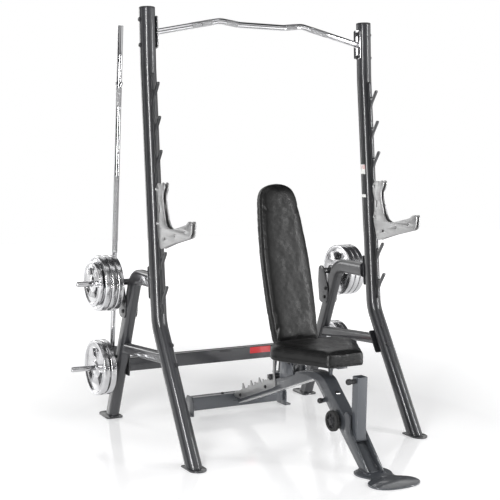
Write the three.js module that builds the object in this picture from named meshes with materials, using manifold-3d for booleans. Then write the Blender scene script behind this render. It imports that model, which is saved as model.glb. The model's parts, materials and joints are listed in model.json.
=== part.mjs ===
// Free-weight training station: an open half rack with plate pegs and an adjustable bench.
// Millimetres, Z up, X across the rack, Y towards the back. The bench stands between the uprights.
import * as THREE from "three";
import { mergeVertices } from "three/addons/utils/BufferGeometryUtils.js";
import Module from "manifold-3d";

const wasm = await Module();
wasm.setup();

// ---------------------------------------------------------------- overall
const CENTRE_SHIFT = 125; // moves the whole station so that its box is centred on Y = 0
const GAP = 0.4; // daylight between two pieces that touch on the real machine
const CURVE_STEPS = 4; // straight steps in each free curve of an outline
const LEFT = -1;
const RIGHT = 1;

// ---------------------------------------------------------------- rack frame
const UPRIGHT_X = 625; // half the distance between the upright centre lines
const UPRIGHT_RADIUS = 38;
const UPRIGHT_FOOT = [-345, 8];
const UPRIGHT_KNEE = [35, 600];
const UPRIGHT_NECK = [185, 1800];
const UPRIGHT_TOP = [207, 2090];
const KNEE_RADIUS = 180;
const NECK_RADIUS = 600;
const FOOT_THICKNESS = 8;
const TUBE_WALL = 3;
const CAP_THICKNESS = 8;
const CAP_PLUG_DEPTH = 22;

const RAIL_HALF_THICKNESS = 6;
const RAIL_BACK = 38 + GAP;
const RAIL_FRONT = 52;
const RAIL_START = 46;
const RAIL_END = 1190;
const PRONG_PITCH = 159;
const PRONG_COUNT = 7;
const FIRST_PRONG_TIP = 180;
const PRONG_REACH = 110;

const PULLUP_RADIUS = 15;
const PULLUP_Y = 202;
const PULLUP_POINTS = [
  [581, 1976],
  [236, 2050],
  [130, 2037],
];

const LEG_X = 607; // centre of each rear leg across the rack
const LEG_DEPTH = 72;
const LEG_WIDTH = 56;
const LEG_CORNER = 20;
const LEG_ARM_Z = 790;
const LEG_ELBOW = [352, 790];
const LEG_FOOT = [648, 8];
const ELBOW_RADIUS = 95;

const BRACE_SIZE = 50;
const BRACE_CORNER = 12;
const BRACE_FRONT = [-32, 440];
const BRACE_BACK = [446, 402];

const CROSSBAR_Y = 534;
const CROSSBAR_Z = 302;
const CROSSBAR_TALL = 70;
const CROSSBAR_DEEP = 50;
const CROSSBAR_CORNER = 7;

const UPPER_PEG = [470, 742];
const LOWER_PEG = [541, 297];
const PEG_RADIUS = 13.5;
const PEG_TIP_X = 875;
const PEG_COLLAR_RADIUS = 22;
const BRACKET_THICKNESS = 6;

// ---------------------------------------------------------------- weights
const LARGE_PLATE_RADIUS = 141;
const SMALL_PLATE_RADIUS = 114;
const LARGE_PLATE_THICKNESS = 30;
const SMALL_PLATE_THICKNESS = 20;
const PLATE_BORE_RADIUS = 15.5;
const UPPER_PLATES = [
  { label: "inner", start: 678, radius: LARGE_PLATE_RADIUS, thickness: LARGE_PLATE_THICKNESS },
  { label: "middle", start: 711, radius: LARGE_PLATE_RADIUS, thickness: LARGE_PLATE_THICKNESS },
  { label: "outer", start: 744, radius: LARGE_PLATE_RADIUS, thickness: LARGE_PLATE_THICKNESS },
  { label: "small", start: 777, radius: SMALL_PLATE_RADIUS, thickness: SMALL_PLATE_THICKNESS },
];
const LOWER_PLATES = [
  { label: "inner", start: 684, radius: LARGE_PLATE_RADIUS, thickness: LARGE_PLATE_THICKNESS },
  { label: "outer", start: 722, radius: LARGE_PLATE_RADIUS, thickness: LARGE_PLATE_THICKNESS },
];

const BAR_FOOT = new THREE.Vector3(-616, 634, 330);
const BAR_HEAD = new THREE.Vector3(-578, 634, 2036);
const BAR_RADIUS = 14;
const BAR_SLEEVE = 300;
const BAR_COLLAR_RADIUS = 19;

// ---------------------------------------------------------------- bar hooks
const HOOK_PLATE_INNER = 6.8;
const HOOK_PLATE_OUTER = 13.5;
const HOOK_PIN_RADIUS = 6;
const HOOK_TIP_INDEX = 2; // prong the lower pin sits behind, counted from the bottom one

// ---------------------------------------------------------------- bench
const BENCH_X = 60;
const SPINE_HALF = 30; // half the depth of the beam, square to its slope
const SPINE_HALF_WIDTH = 34;
const SPINE_SLOPE = Math.atan(0.39);
const SPINE_ORIGIN = [28, 241];
const SPINE_END = 454;
const LEG_RISE = 0.86; // height gained per millimetre along Y by the bench's front leg
const LEG_REAR_AT = [-328, 335];
const LEG_FRONT_AT = [-476, 305];
const CHEEK_THICKNESS = 12;
const CHANNEL_TOP = 128; // below this height the leg's front face is set back between the cheeks
const CHANNEL_DEPTHS = [36, 50]; // how far it is set back at the top and at the foot
const POST_HALF = 26;
const POST_WALL = 3;
const POST_Y = -650;
const POST_TOP = 420;
const POST_PIN_HEIGHT = 400;

const COMB_THICKNESS = 5;
const TOOTH_PITCH = 91.4;
const TOOTH_COUNT = 4;
const FIRST_TOOTH = 64;
const TOOTH_TIP = 63.5;
const NOTCH_FLOOR = 32.5;
const STOP_BAR_HALF = 12;
const STOP_BAR_ALONG = 33;

const BACK_HINGE = [-45, 405];
const BACK_LEAN = THREE.MathUtils.degToRad(17.2);
const BACK_PAD_THICKNESS = 55;
const BACK_PAD_LENGTH = 817;
const BACK_PAD_FACE = -104.5; // padded face, measured backwards from the hinge
const BACK_PAD_START = 50;
const STRUT_PIVOT_ALONG = 250;

const SEAT_HINGE = [-100, 378];
const SEAT_PAD_BOTTOM = 62; // height of the pad's underside over the hinge
const SEAT_PAD_THICKNESS = 74;

const WHEEL_RADIUS = 49;
const WHEEL_CENTRE = [-524, 190];

// ---------------------------------------------------------------- finishes
const FINISHES = {
  frame: { color: 0x45464a, roughness: 0.35, metalness: 0.6 },
  bench: { color: 0x63656b, roughness: 0.35, metalness: 0.6 },
  silver: { color: 0xb9bbbd, roughness: 0.35, metalness: 0.9 },
  chrome: { color: 0xd6d8da, roughness: 0.12, metalness: 1.0 },
  plastic: { color: 0x151515, roughness: 0.5, metalness: 0.0 },
  leather: { color: 0x1b1b1c, roughness: 0.55, metalness: 0.0 },
};

const station = new THREE.Group();
station.name = "training_station";

function sideName(side) {
  return side === LEFT ? "left" : "right";
}

function addPiece(name, geometry, finish) {
  geometry.translate(0, CENTRE_SHIFT, 0);
  geometry.computeVertexNormals();
  const mesh = new THREE.Mesh(geometry, new THREE.MeshStandardMaterial(FINISHES[finish]));
  mesh.name = name;
  station.add(mesh);
}

// ---------------------------------------------------------------- solid helpers
function toManifold(geometry) {
  const bare = geometry.clone();
  bare.deleteAttribute("normal");
  bare.deleteAttribute("uv");
  const welded = mergeVertices(bare, 1e-4);
  return new wasm.Manifold(
    new wasm.Mesh({
      numProp: 3,
      vertProperties: new Float32Array(welded.attributes.position.array),
      triVerts: new Uint32Array(welded.index.array),
    }),
  );
}

function fromManifold(solid) {
  const mesh = solid.getMesh();
  const geometry = new THREE.BufferGeometry();
  const corners = new Float32Array(mesh.numVert * 3);
  for (let i = 0; i < mesh.numVert; i += 1) {
    for (let k = 0; k < 3; k += 1) {
      corners[3 * i + k] = mesh.vertProperties[mesh.numProp * i + k];
    }
  }
  geometry.setAttribute("position", new THREE.BufferAttribute(corners, 3));
  geometry.setIndex(new THREE.BufferAttribute(new Uint32Array(mesh.triVerts), 1));
  return geometry;
}

function join(...geometries) {
  const solids = geometries.map(toManifold);
  return fromManifold(solids.reduce((whole, next) => whole.add(next)));
}

function cutAway(geometry, ...tools) {
  const start = toManifold(geometry);
  return fromManifold(tools.map(toManifold).reduce((rest, tool) => rest.subtract(tool), start));
}

function outlineShape(points) {
  return new THREE.Shape(points.map(([a, b]) => new THREE.Vector2(a, b)));
}

function circlePath(a, b, radius, segments) {
  const points = [];
  for (let i = 0; i < segments; i += 1) {
    const turn = (2 * Math.PI * i) / segments;
    points.push(new THREE.Vector2(a + radius * Math.cos(turn), b + radius * Math.sin(turn)));
  }
  return new THREE.Path(points);
}

function polar(radius, turn) {
  return new THREE.Vector2(radius * Math.cos(turn), radius * Math.sin(turn));
}

// A flat plate whose outline lies in the YZ plane, between two X positions.
function sidePlate(shape, xFrom, xTo) {
  const start = Math.min(xFrom, xTo);
  const geometry = new THREE.ExtrudeGeometry(shape, {
    depth: Math.abs(xTo - xFrom),
    bevelEnabled: false,
    curveSegments: CURVE_STEPS,
  });
  const turn = new THREE.Matrix4().makeBasis(
    new THREE.Vector3(0, 1, 0),
    new THREE.Vector3(0, 0, 1),
    new THREE.Vector3(1, 0, 0),
  );
  geometry.applyMatrix4(turn);
  geometry.translate(start, 0, 0);
  return geometry;
}

// A flat plate whose outline lies in the XY plane, between two heights.
function floorPlate(shape, zFrom, zTo) {
  const geometry = new THREE.ExtrudeGeometry(shape, {
    depth: zTo - zFrom,
    bevelEnabled: false,
    curveSegments: CURVE_STEPS,
  });
  geometry.translate(0, 0, zFrom);
  return geometry;
}

function block(xFrom, xTo, yFrom, yTo, zFrom, zTo) {
  const geometry = new THREE.BoxGeometry(xTo - xFrom, yTo - yFrom, zTo - zFrom);
  geometry.translate((xFrom + xTo) / 2, (yFrom + yTo) / 2, (zFrom + zTo) / 2);
  return geometry;
}

// A round rod between two points.
function rod(from, to, radius, segments = 16) {
  const along = to.clone().sub(from);
  const geometry = new THREE.CylinderGeometry(radius, radius, along.length(), segments);
  const turn = new THREE.Quaternion().setFromUnitVectors(
    new THREE.Vector3(0, 1, 0),
    along.clone().normalize(),
  );
  geometry.applyQuaternion(turn);
  geometry.translate((from.x + to.x) / 2, (from.y + to.y) / 2, (from.z + to.z) / 2);
  return geometry;
}

function crossRod(xFrom, xTo, [y, z], radius, segments = 16) {
  return rod(new THREE.Vector3(xFrom, y, z), new THREE.Vector3(xTo, y, z), radius, segments);
}

// A turned piece: profile rows are [distance along, radius], laid from one point towards another.
function turned(profile, from, to, segments) {
  const points = profile.map(([along, radius]) => new THREE.Vector2(radius, along));
  const geometry = new THREE.LatheGeometry(points, segments);
  const direction = to.clone().sub(from).normalize();
  const turn = new THREE.Quaternion().setFromUnitVectors(new THREE.Vector3(0, 1, 0), direction);
  geometry.applyQuaternion(turn);
  geometry.translate(from.x, from.y, from.z);
  return geometry;
}

// Rounds the inner corners of a path with arcs of the given radii.
function filletPath(points, radii, stepCounts) {
  const path = [points[0]];
  for (let i = 1; i < points.length - 1; i += 1) {
    const toPrevious = points[i - 1].clone().sub(points[i]).normalize();
    const toNext = points[i + 1].clone().sub(points[i]).normalize();
    const opening = toPrevious.angleTo(toNext);
    const setback = radii[i - 1] / Math.tan(opening / 2);
    const bisector = toPrevious.clone().add(toNext).normalize();
    const centre = points[i].clone().addScaledVector(bisector, radii[i - 1] / Math.sin(opening / 2));
    const start = points[i].clone().addScaledVector(toPrevious, setback).sub(centre);
    const end = points[i].clone().addScaledVector(toNext, setback).sub(centre);
    const axis = start.clone().cross(end).normalize();
    const sweepAngle = start.angleTo(end);
    const steps = stepCounts[i - 1];
    for (let k = 0; k <= steps; k += 1) {
      path.push(start.clone().applyAxisAngle(axis, (sweepAngle * k) / steps).add(centre));
    }
  }
  path.push(points[points.length - 1]);
  return path;
}

function roundSection(radius, segments) {
  const section = [];
  for (let i = 0; i < segments; i += 1) {
    const turn = (2 * Math.PI * i) / segments;
    section.push([radius * Math.cos(turn), radius * Math.sin(turn)]);
  }
  return section;
}

function softSquareSection(deep, wide, cornerRadius, cornerSteps) {
  const section = [];
  const corners = [
    [1, 1, 0],
    [-1, 1, 1],
    [-1, -1, 2],
    [1, -1, 3],
  ];
  for (const [a, b, quarter] of corners) {
    for (let k = 0; k <= cornerSteps; k += 1) {
      const turn = (Math.PI / 2) * (quarter + k / cornerSteps);
      section.push([
        a * (deep / 2 - cornerRadius) + cornerRadius * Math.cos(turn),
        b * (wide / 2 - cornerRadius) + cornerRadius * Math.sin(turn),
      ]);
    }
  }
  return section;
}

// The hollow inside a soft square tube.
function insideSection(deep, wide, cornerRadius) {
  return softSquareSection(deep - 2 * TUBE_WALL, wide - 2 * TUBE_WALL, cornerRadius - TUBE_WALL, 2);
}

// Carries a convex section along a path that lies in one plane. Either end can be cut by a plane.
function sweep(path, planeNormal, section, startCut = null, endCut = null) {
  const rings = path.map((point, i) => {
    const before = path[Math.max(i - 1, 0)];
    const after = path[Math.min(i + 1, path.length - 1)];
    const tangent = after.clone().sub(before).normalize();
    const across = planeNormal.clone().cross(tangent);
    const cut = i === 0 ? startCut : i === path.length - 1 ? endCut : null;
    return section.map(([n, b]) => {
      const corner = point.clone().addScaledVector(across, n).addScaledVector(planeNormal, b);
      if (cut) {
        const short = cut.constant - corner.dot(cut.normal);
        corner.addScaledVector(tangent, short / tangent.dot(cut.normal));
      }
      return corner;
    });
  });
  const count = section.length;
  const corners = [];
  rings.forEach((ring) => ring.forEach((corner) => corners.push(corner.x, corner.y, corner.z)));
  const faces = [];
  for (let i = 0; i < rings.length - 1; i += 1) {
    for (let k = 0; k < count; k += 1) {
      const next = (k + 1) % count;
      const a = i * count + k;
      const b = i * count + next;
      const c = (i + 1) * count + next;
      const d = (i + 1) * count + k;
      faces.push(a, b, c, a, c, d);
    }
  }
  const last = (rings.length - 1) * count;
  for (let k = 1; k < count - 1; k += 1) {
    faces.push(0, k + 1, k);
    faces.push(last, last + k, last + k + 1);
  }
  const geometry = new THREE.BufferGeometry();
  geometry.setAttribute("position", new THREE.BufferAttribute(new Float32Array(corners), 3));
  geometry.setIndex(faces);
  return outward(geometry);
}

// Turns every face round if the body came out inside out.
function outward(geometry) {
  const at = geometry.attributes.position;
  const index = geometry.index.array;
  const corner = (i) => new THREE.Vector3().fromBufferAttribute(at, i);
  let volume = 0;
  for (let i = 0; i < index.length; i += 3) {
    volume += corner(index[i]).dot(corner(index[i + 1]).cross(corner(index[i + 2])));
  }
  if (volume < 0) {
    for (let i = 0; i < index.length; i += 3) {
      [index[i + 1], index[i + 2]] = [index[i + 2], index[i + 1]];
    }
  }
  return geometry;
}

function inPlane(x, [y, z]) {
  return new THREE.Vector3(x, y, z);
}

// A cutting plane across the YZ plane, through a point, facing the given direction.
function cutPlane([y, z], [normalY, normalZ]) {
  const normal = new THREE.Vector3(0, normalY, normalZ).normalize();
  return { normal, constant: normal.dot(new THREE.Vector3(0, y, z)) };
}

// Points placed by distance along a leaning line and distance square to it.
function leaningFrame([y, z], [alongY, alongZ], [squareY, squareZ]) {
  return (along, square) => [
    y + along * alongY + square * squareY,
    z + along * alongZ + square * squareZ,
  ];
}

// ---------------------------------------------------------------- rack
const ACROSS = new THREE.Vector3(1, 0, 0);
const uprightLean = Math.atan2(UPRIGHT_NECK[0] - UPRIGHT_KNEE[0], UPRIGHT_NECK[1] - UPRIGHT_KNEE[1]);
const leanUp = [Math.sin(uprightLean), Math.cos(uprightLean)];
const leanForward = [-Math.cos(uprightLean), Math.sin(uprightLean)];
const onRail = leaningFrame(UPRIGHT_KNEE, leanUp, leanForward);

function frontFoot(side) {
  const shape = new THREE.Shape();
  shape.moveTo(-42, -300);
  shape.lineTo(42, -300);
  shape.lineTo(42, -382);
  shape.absarc(0, -382, 42, 0, -Math.PI, true);
  shape.lineTo(-42, -300);
  shape.holes.push(circlePath(0, -405, 6, 10));
  const plate = floorPlate(shape, 0, FOOT_THICKNESS);
  plate.translate(side * UPRIGHT_X, 0, 0);
  return plate;
}

const topDirection = new THREE.Vector2(
  UPRIGHT_TOP[0] - UPRIGHT_NECK[0],
  UPRIGHT_TOP[1] - UPRIGHT_NECK[1],
).normalize();

// A point on the upright's top stretch, measured upwards from its end.
function nearTop(x, along) {
  return inPlane(x, [UPRIGHT_TOP[0] + along * topDirection.x, UPRIGHT_TOP[1] + along * topDirection.y]);
}

// A bent round tube, closed at the floor and open at the top, where a cap plugs it.
function upright(side) {
  const x = side * UPRIGHT_X;
  const lower = [UPRIGHT_FOOT, UPRIGHT_KNEE, UPRIGHT_NECK].map((p) => inPlane(x, p));
  const bent = (top) => filletPath([...lower, top], [KNEE_RADIUS, NECK_RADIUS], [5, 1]);
  const outerPath = bent(nearTop(x, -CAP_THICKNESS - GAP));
  const borePath = bent(nearTop(x, CAP_THICKNESS));
  const floorCut = cutPlane([0, FOOT_THICKNESS - 1], [0, 1]);
  const boreFloor = cutPlane([0, FOOT_THICKNESS + TUBE_WALL], [0, 1]);
  const outer = sweep(outerPath, ACROSS, roundSection(UPRIGHT_RADIUS, 20), floorCut);
  const bore = sweep(borePath, ACROSS, roundSection(UPRIGHT_RADIUS - TUBE_WALL, 16), boreFloor);
  return cutAway(join(outer, frontFoot(side)), bore);
}

function uprightCap(side) {
  const x = side * UPRIGHT_X;
  const plugRadius = (UPRIGHT_RADIUS - TUBE_WALL) * Math.cos(Math.PI / 16) - GAP;
  const profile = [
    [0, 0],
    [0, UPRIGHT_RADIUS - 2],
    [2, UPRIGHT_RADIUS],
    [CAP_THICKNESS, UPRIGHT_RADIUS],
    [CAP_THICKNESS, plugRadius],
    [CAP_PLUG_DEPTH, plugRadius],
    [CAP_PLUG_DEPTH, 0],
  ];
  return turned(profile, nearTop(x, 0), nearTop(x, -1), 20);
}

// The toothed catch rail on the front of an upright: one finger and one saddle at every pitch.
function catchRail(side) {
  const points = [
    [RAIL_BACK, RAIL_START],
    [RAIL_FRONT - 6, RAIL_START],
    [RAIL_FRONT, RAIL_START + 8],
  ];
  for (let i = 0; i < PRONG_COUNT; i += 1) {
    const tip = FIRST_PRONG_TIP + i * PRONG_PITCH;
    points.push([RAIL_FRONT, tip - 84]);
    points.push([RAIL_FRONT + 9, tip - 72]);
    points.push([RAIL_FRONT + 15, tip - 60]);
    points.push([PRONG_REACH - 2, tip - 12]);
    points.push([PRONG_REACH, tip - 5]);
    points.push([PRONG_REACH - 6, tip]);
    points.push([PRONG_REACH - 13, tip - 3]);
    points.push([RAIL_FRONT + 22, tip - 31]);
    points.push([RAIL_FRONT + 16, tip - 37]);
    points.push([RAIL_FRONT + 6, tip - 37]);
    points.push([RAIL_FRONT, tip - 30]);
  }
  points.push([RAIL_FRONT, RAIL_END - 12]);
  points.push([RAIL_BACK, RAIL_END]);
  const shape = outlineShape(points.map(([square, along]) => onRail(along, square)));
  const x = side * UPRIGHT_X;
  return sidePlate(shape, x - RAIL_HALF_THICKNESS, x + RAIL_HALF_THICKNESS);
}

function pullupFlange(side) {
  const tall = 150;
  const middle = PULLUP_POINTS[0][1];
  const lean = (UPRIGHT_TOP[0] - UPRIGHT_NECK[0]) / (UPRIGHT_TOP[1] - UPRIGHT_NECK[1]);
  const centreY = (z) => UPRIGHT_TOP[0] + (z - UPRIGHT_TOP[1]) * lean;
  const low = middle - tall / 2;
  const high = middle + tall / 2;
  const shape = outlineShape([
    [centreY(low) - 22, low],
    [centreY(low) + 22, low],
    [centreY(low) + 28, low + 10],
    [centreY(high) + 28, high - 10],
    [centreY(high) + 22, high],
    [centreY(high) - 22, high],
    [centreY(high) - 28, high - 10],
    [centreY(low) - 28, low + 10],
  ]);
  const outer = UPRIGHT_X - UPRIGHT_RADIUS - GAP;
  return sidePlate(shape, side * (outer - 6), side * outer);
}

// The pull-up bar rises from each flange to a shallow peak and dips across the middle.
function pullupBar() {
  const half = PULLUP_POINTS.map(([x, z]) => new THREE.Vector3(x, PULLUP_Y, z));
  const mirrored = half.map((point) => new THREE.Vector3(-point.x, point.y, point.z));
  const corners = [...mirrored, ...half.reverse()];
  const path = filletPath(corners, [120, 160, 160, 120], [3, 2, 2, 3]);
  const borePath = [...path];
  const last = path.length - 1;
  borePath[0] = path[0].clone().lerp(path[1], -0.1);
  borePath[last] = path[last].clone().lerp(path[last - 1], -0.1);
  const along = new THREE.Vector3(0, 1, 0);
  const tube = sweep(path, along, roundSection(PULLUP_RADIUS, 14));
  const bore = sweep(borePath, along, roundSection(PULLUP_RADIUS - TUBE_WALL, 10));
  return cutAway(join(tube, pullupFlange(LEFT), pullupFlange(RIGHT)), bore);
}

// ---------------------------------------------------------------- rear legs and storage
const legDrop = new THREE.Vector2(LEG_FOOT[0] - LEG_ELBOW[0], LEG_FOOT[1] - LEG_ELBOW[1]).normalize();
const legFront = [legDrop.y, -legDrop.x]; // square to the leg, towards the uprights
const onLeg = leaningFrame(LEG_FOOT, [-legDrop.x, -legDrop.y], legFront);

function saddlePlate(side) {
  const back = -(UPRIGHT_RADIUS + GAP);
  const plate = outlineShape([
    onRail(118, back),
    onRail(118, back - 6),
    onRail(274, back - 6),
    onRail(274, back),
  ]);
  return sidePlate(plate, side * UPRIGHT_X - 30, side * UPRIGHT_X + 30);
}

function rearFoot(side) {
  const shape = new THREE.Shape();
  shape.moveTo(-46, 620);
  shape.absarc(-26, 620, 20, Math.PI, 1.5 * Math.PI, false);
  shape.absarc(26, 620, 20, 1.5 * Math.PI, 2 * Math.PI, false);
  shape.lineTo(46, 712);
  shape.absarc(8, 712, 38, 0, Math.PI / 2, false);
  shape.absarc(-8, 712, 38, Math.PI / 2, Math.PI, false);
  shape.lineTo(-46, 620);
  shape.holes.push(circlePath(0, 731, 6, 10));
  const plate = floorPlate(shape, 0, FOOT_THICKNESS);
  plate.translate(side * LEG_X, 0, 0);
  return plate;
}

function rearLeg(side) {
  const x = side * LEG_X;
  const corners = [inPlane(x, [150, LEG_ARM_Z]), inPlane(x, LEG_ELBOW), inPlane(x, LEG_FOOT)];
  const path = filletPath(corners, [ELBOW_RADIUS], [6]);
  const section = softSquareSection(LEG_DEPTH, LEG_WIDTH, LEG_CORNER, 2);
  const bored = insideSection(LEG_DEPTH, LEG_WIDTH, LEG_CORNER);
  const frontCut = cutPlane(onRail(190, -(UPRIGHT_RADIUS + GAP + 5)), leanForward);
  const boreFront = cutPlane(onRail(190, -(UPRIGHT_RADIUS - 1)), leanForward);
  const floorCut = cutPlane([0, FOOT_THICKNESS - 1], [0, 1]);
  const boreFloor = cutPlane([0, FOOT_THICKNESS + TUBE_WALL], [0, 1]);
  const tube = sweep(path, ACROSS, section, frontCut, floorCut);
  const bore = sweep(path, ACROSS, bored, boreFront, boreFloor);
  return cutAway(join(tube, saddlePlate(side), rearFoot(side)), bore);
}

// The lower brace ties the slanting part of the upright to the rear leg.
function lowerBrace(side) {
  const x = side * LEG_X;
  const slant = new THREE.Vector2(
    UPRIGHT_KNEE[0] - UPRIGHT_FOOT[0],
    UPRIGHT_KNEE[1] - UPRIGHT_FOOT[1],
  ).normalize();
  const behind = [slant.y, -slant.x];
  const tangent = leaningFrame(UPRIGHT_FOOT, [slant.x, slant.y], behind);
  const touch = UPRIGHT_RADIUS + GAP;
  const middle = 525;
  const flange = sidePlate(
    outlineShape([
      tangent(middle - 62, touch),
      tangent(middle + 62, touch),
      tangent(middle + 62, touch + 6),
      tangent(middle - 62, touch + 6),
    ]),
    x - 30,
    x + 30,
  );
  const path = [inPlane(x, BRACE_FRONT), inPlane(x, BRACE_BACK)];
  const frontCut = cutPlane(tangent(middle, touch + 5), behind);
  const backCut = cutPlane(onLeg(0, LEG_DEPTH / 2 + GAP), legFront);
  const boreBack = cutPlane(onLeg(0, LEG_DEPTH / 2 - 1), legFront);
  const section = softSquareSection(BRACE_SIZE, BRACE_SIZE, BRACE_CORNER, 2);
  const tube = sweep(path, ACROSS, section, frontCut, backCut);
  const bore = sweep(path, ACROSS, insideSection(BRACE_SIZE, BRACE_SIZE, BRACE_CORNER), frontCut, boreBack);
  return cutAway(join(tube, flange), bore);
}

function crossbar() {
  const inner = LEG_X - LEG_WIDTH / 2 - GAP;
  const yFrom = CROSSBAR_Y - CROSSBAR_DEEP / 2;
  const yTo = CROSSBAR_Y + CROSSBAR_DEEP / 2;
  const zFrom = CROSSBAR_Z - CROSSBAR_TALL / 2;
  const zTo = CROSSBAR_Z + CROSSBAR_TALL / 2;
  const across = (xFrom, xTo) => [xFrom, xTo].map((x) => new THREE.Vector3(x, CROSSBAR_Y, CROSSBAR_Z));
  const along = new THREE.Vector3(0, 1, 0);
  const section = softSquareSection(CROSSBAR_TALL, CROSSBAR_DEEP, CROSSBAR_CORNER, 2);
  const bored = insideSection(CROSSBAR_TALL, CROSSBAR_DEEP, CROSSBAR_CORNER);
  const tube = sweep(across(-inner + 4, inner - 4), along, section);
  const bore = sweep(across(-inner + BRACKET_THICKNESS, inner + 5), along, bored);
  const ends = [LEFT, RIGHT].map((side) =>
    block(
      side === LEFT ? -inner : inner - BRACKET_THICKNESS,
      side === LEFT ? -inner + BRACKET_THICKNESS : inner,
      yFrom - 12,
      yTo + 12,
      zFrom - 22,
      zTo + 22,
    ),
  );
  return cutAway(join(tube, ...ends), bore);
}

function bracketShape() {
  const [y, z] = UPPER_PEG;
  return outlineShape([
    [y - 26, z + 14],
    [y - 16, z + 27],
    [y, z + 32],
    [y + 17, z + 27],
    [y + 28, z + 12],
    [y + 30, z - 60],
    [y + 14, z - 165],
    [y - 6, z - 176],
    [y - 54, z - 176],
    [y - 62, z - 160],
    [y - 70, z - 100],
    [y - 58, z - 60],
  ]);
}

// Two plates on either side of the rear leg, with a dark tube between them behind the leg.
function pegBracket(side) {
  const innerFace = LEG_X - LEG_WIDTH / 2 - GAP;
  const outerFace = LEG_X + LEG_WIDTH / 2 + GAP;
  return join(
    sidePlate(bracketShape(), side * (innerFace - BRACKET_THICKNESS), side * innerFace),
    sidePlate(bracketShape(), side * outerFace, side * (outerFace + BRACKET_THICKNESS)),
    crossRod(side * (innerFace - 1), side * (outerFace + 1), UPPER_PEG, 16),
  );
}

function peg(side, place, from, collarTo) {
  const length = PEG_TIP_X - from;
  const collar = collarTo - from;
  const profile = [
    [0, 0],
    [0, PEG_COLLAR_RADIUS],
    [collar - 2, PEG_COLLAR_RADIUS],
    [collar, PEG_COLLAR_RADIUS - 2],
    [collar, PEG_RADIUS],
    [length - 3, PEG_RADIUS],
    [length, PEG_RADIUS - 3],
    [length, 0],
  ];
  return turned(profile, inPlane(side * from, place), inPlane(side * PEG_TIP_X, place), 16);
}

// A weight plate with a centre bore and three hand grips.
function weightPlate(side, place, plan) {
  const shape = new THREE.Shape(circlePath(0, 0, plan.radius, 32).getPoints());
  shape.holes.push(circlePath(0, 0, PLATE_BORE_RADIUS, 14));
  const gripRadius = plan.radius * 0.56;
  const gripHalf = plan.radius * 0.15;
  const gripSpan = THREE.MathUtils.degToRad(27);
  for (let i = 0; i < 3; i += 1) {
    const middle = (2 * Math.PI * i) / 3 + Math.PI / 2;
    const grip = [];
    for (let k = -2; k <= 2; k += 1) {
      const outer = gripRadius + gripHalf - (Math.abs(k) === 2 ? gripHalf * 0.4 : 0);
      grip.push(polar(outer, middle + (gripSpan * k) / 2));
    }
    for (let k = 2; k >= -2; k -= 1) {
      const inner = gripRadius - gripHalf + (Math.abs(k) === 2 ? gripHalf * 0.4 : 0);
      grip.push(polar(inner, middle + (gripSpan * k) / 2));
    }
    shape.holes.push(new THREE.Path(grip));
  }
  const disc = sidePlate(shape, side * plan.start, side * (plan.start + plan.thickness));
  disc.translate(0, place[0], place[1]);
  return disc;
}

// ---------------------------------------------------------------- stored bar
const barAlong = BAR_HEAD.clone().sub(BAR_FOOT).normalize();
const barLength = BAR_HEAD.distanceTo(BAR_FOOT);

function alongBar(distance) {
  return BAR_FOOT.clone().addScaledVector(barAlong, distance);
}

function barShaft() {
  return rod(alongBar(BAR_SLEEVE + GAP), alongBar(barLength - BAR_SLEEVE - GAP), BAR_RADIUS, 16);
}

function barSleeve(from, to) {
  const length = to.distanceTo(from);
  const profile = [
    [0, 0],
    [0, BAR_COLLAR_RADIUS],
    [14, BAR_COLLAR_RADIUS],
    [14, BAR_RADIUS],
    [length - 2, BAR_RADIUS],
    [length, BAR_RADIUS - 2],
    [length, 0],
  ];
  return turned(profile, from, to, 16);
}

// A cup on the back of the left rear leg. The stored bar stands in it.
function barSocket() {
  const outer = 24;
  const inner = 17.5;
  const low = alongBar(-8);
  const high = alongBar(50);
  const profile = [
    [0, 0],
    [0, outer],
    [58, outer],
    [58, inner],
    [6, inner],
    [6, 0],
  ];
  const cup = turned(profile, low, high, 16);
  const z = low.z + 32;
  const lug = sidePlate(
    outlineShape([
      onLeg((z - 26) / -legDrop.y, LEG_DEPTH / -2 - GAP),
      onLeg((z + 26) / -legDrop.y, LEG_DEPTH / -2 - GAP),
      [low.y - outer + 3, z + 22],
      [low.y - outer + 3, z - 22],
    ]),
    low.x - 8,
    low.x + 8,
  );
  return join(cup, lug);
}

// ---------------------------------------------------------------- bar hooks
const hookPinLow = onRail(FIRST_PRONG_TIP + HOOK_TIP_INDEX * PRONG_PITCH - 30, RAIL_FRONT + 10);
const hookPinHigh = onRail(FIRST_PRONG_TIP + (HOOK_TIP_INDEX + 1) * PRONG_PITCH - 30, RAIL_FRONT + 10);

function hookOutline() {
  return [
    [-14, 1276],
    [-34, 1262],
    [-28, 1240],
    [-13, 1214],
    [-12, 1192],
    [-24, 1150],
    [-44, 1098],
    [-62, 1073],
    [-92, 1061],
    [-130, 1064],
    [-200, 1080],
    [-258, 1094],
    [-288, 1112],
    [-308, 1114],
    [-316, 1100],
    [-312, 1060],
    [-300, 1040],
    [-282, 1034],
    [-140, 1000],
    [-52, 974],
    [-8, 960],
    [10, 966],
    [16, 984],
    [24, 1010],
    [40, 1050],
    [46, 1080],
    [38, 1110],
    [44, 1180],
    [58, 1210],
    [60, 1242],
    [48, 1262],
    [24, 1268],
    [4, 1258],
  ];
}

function slotPath([y, z], halfWidth, halfTall) {
  const slot = new THREE.Path();
  slot.absarc(y, z + halfTall - halfWidth, halfWidth, 0, Math.PI, false);
  slot.absarc(y, z - halfTall + halfWidth, halfWidth, Math.PI, 2 * Math.PI, false);
  slot.closePath();
  return slot;
}

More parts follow.
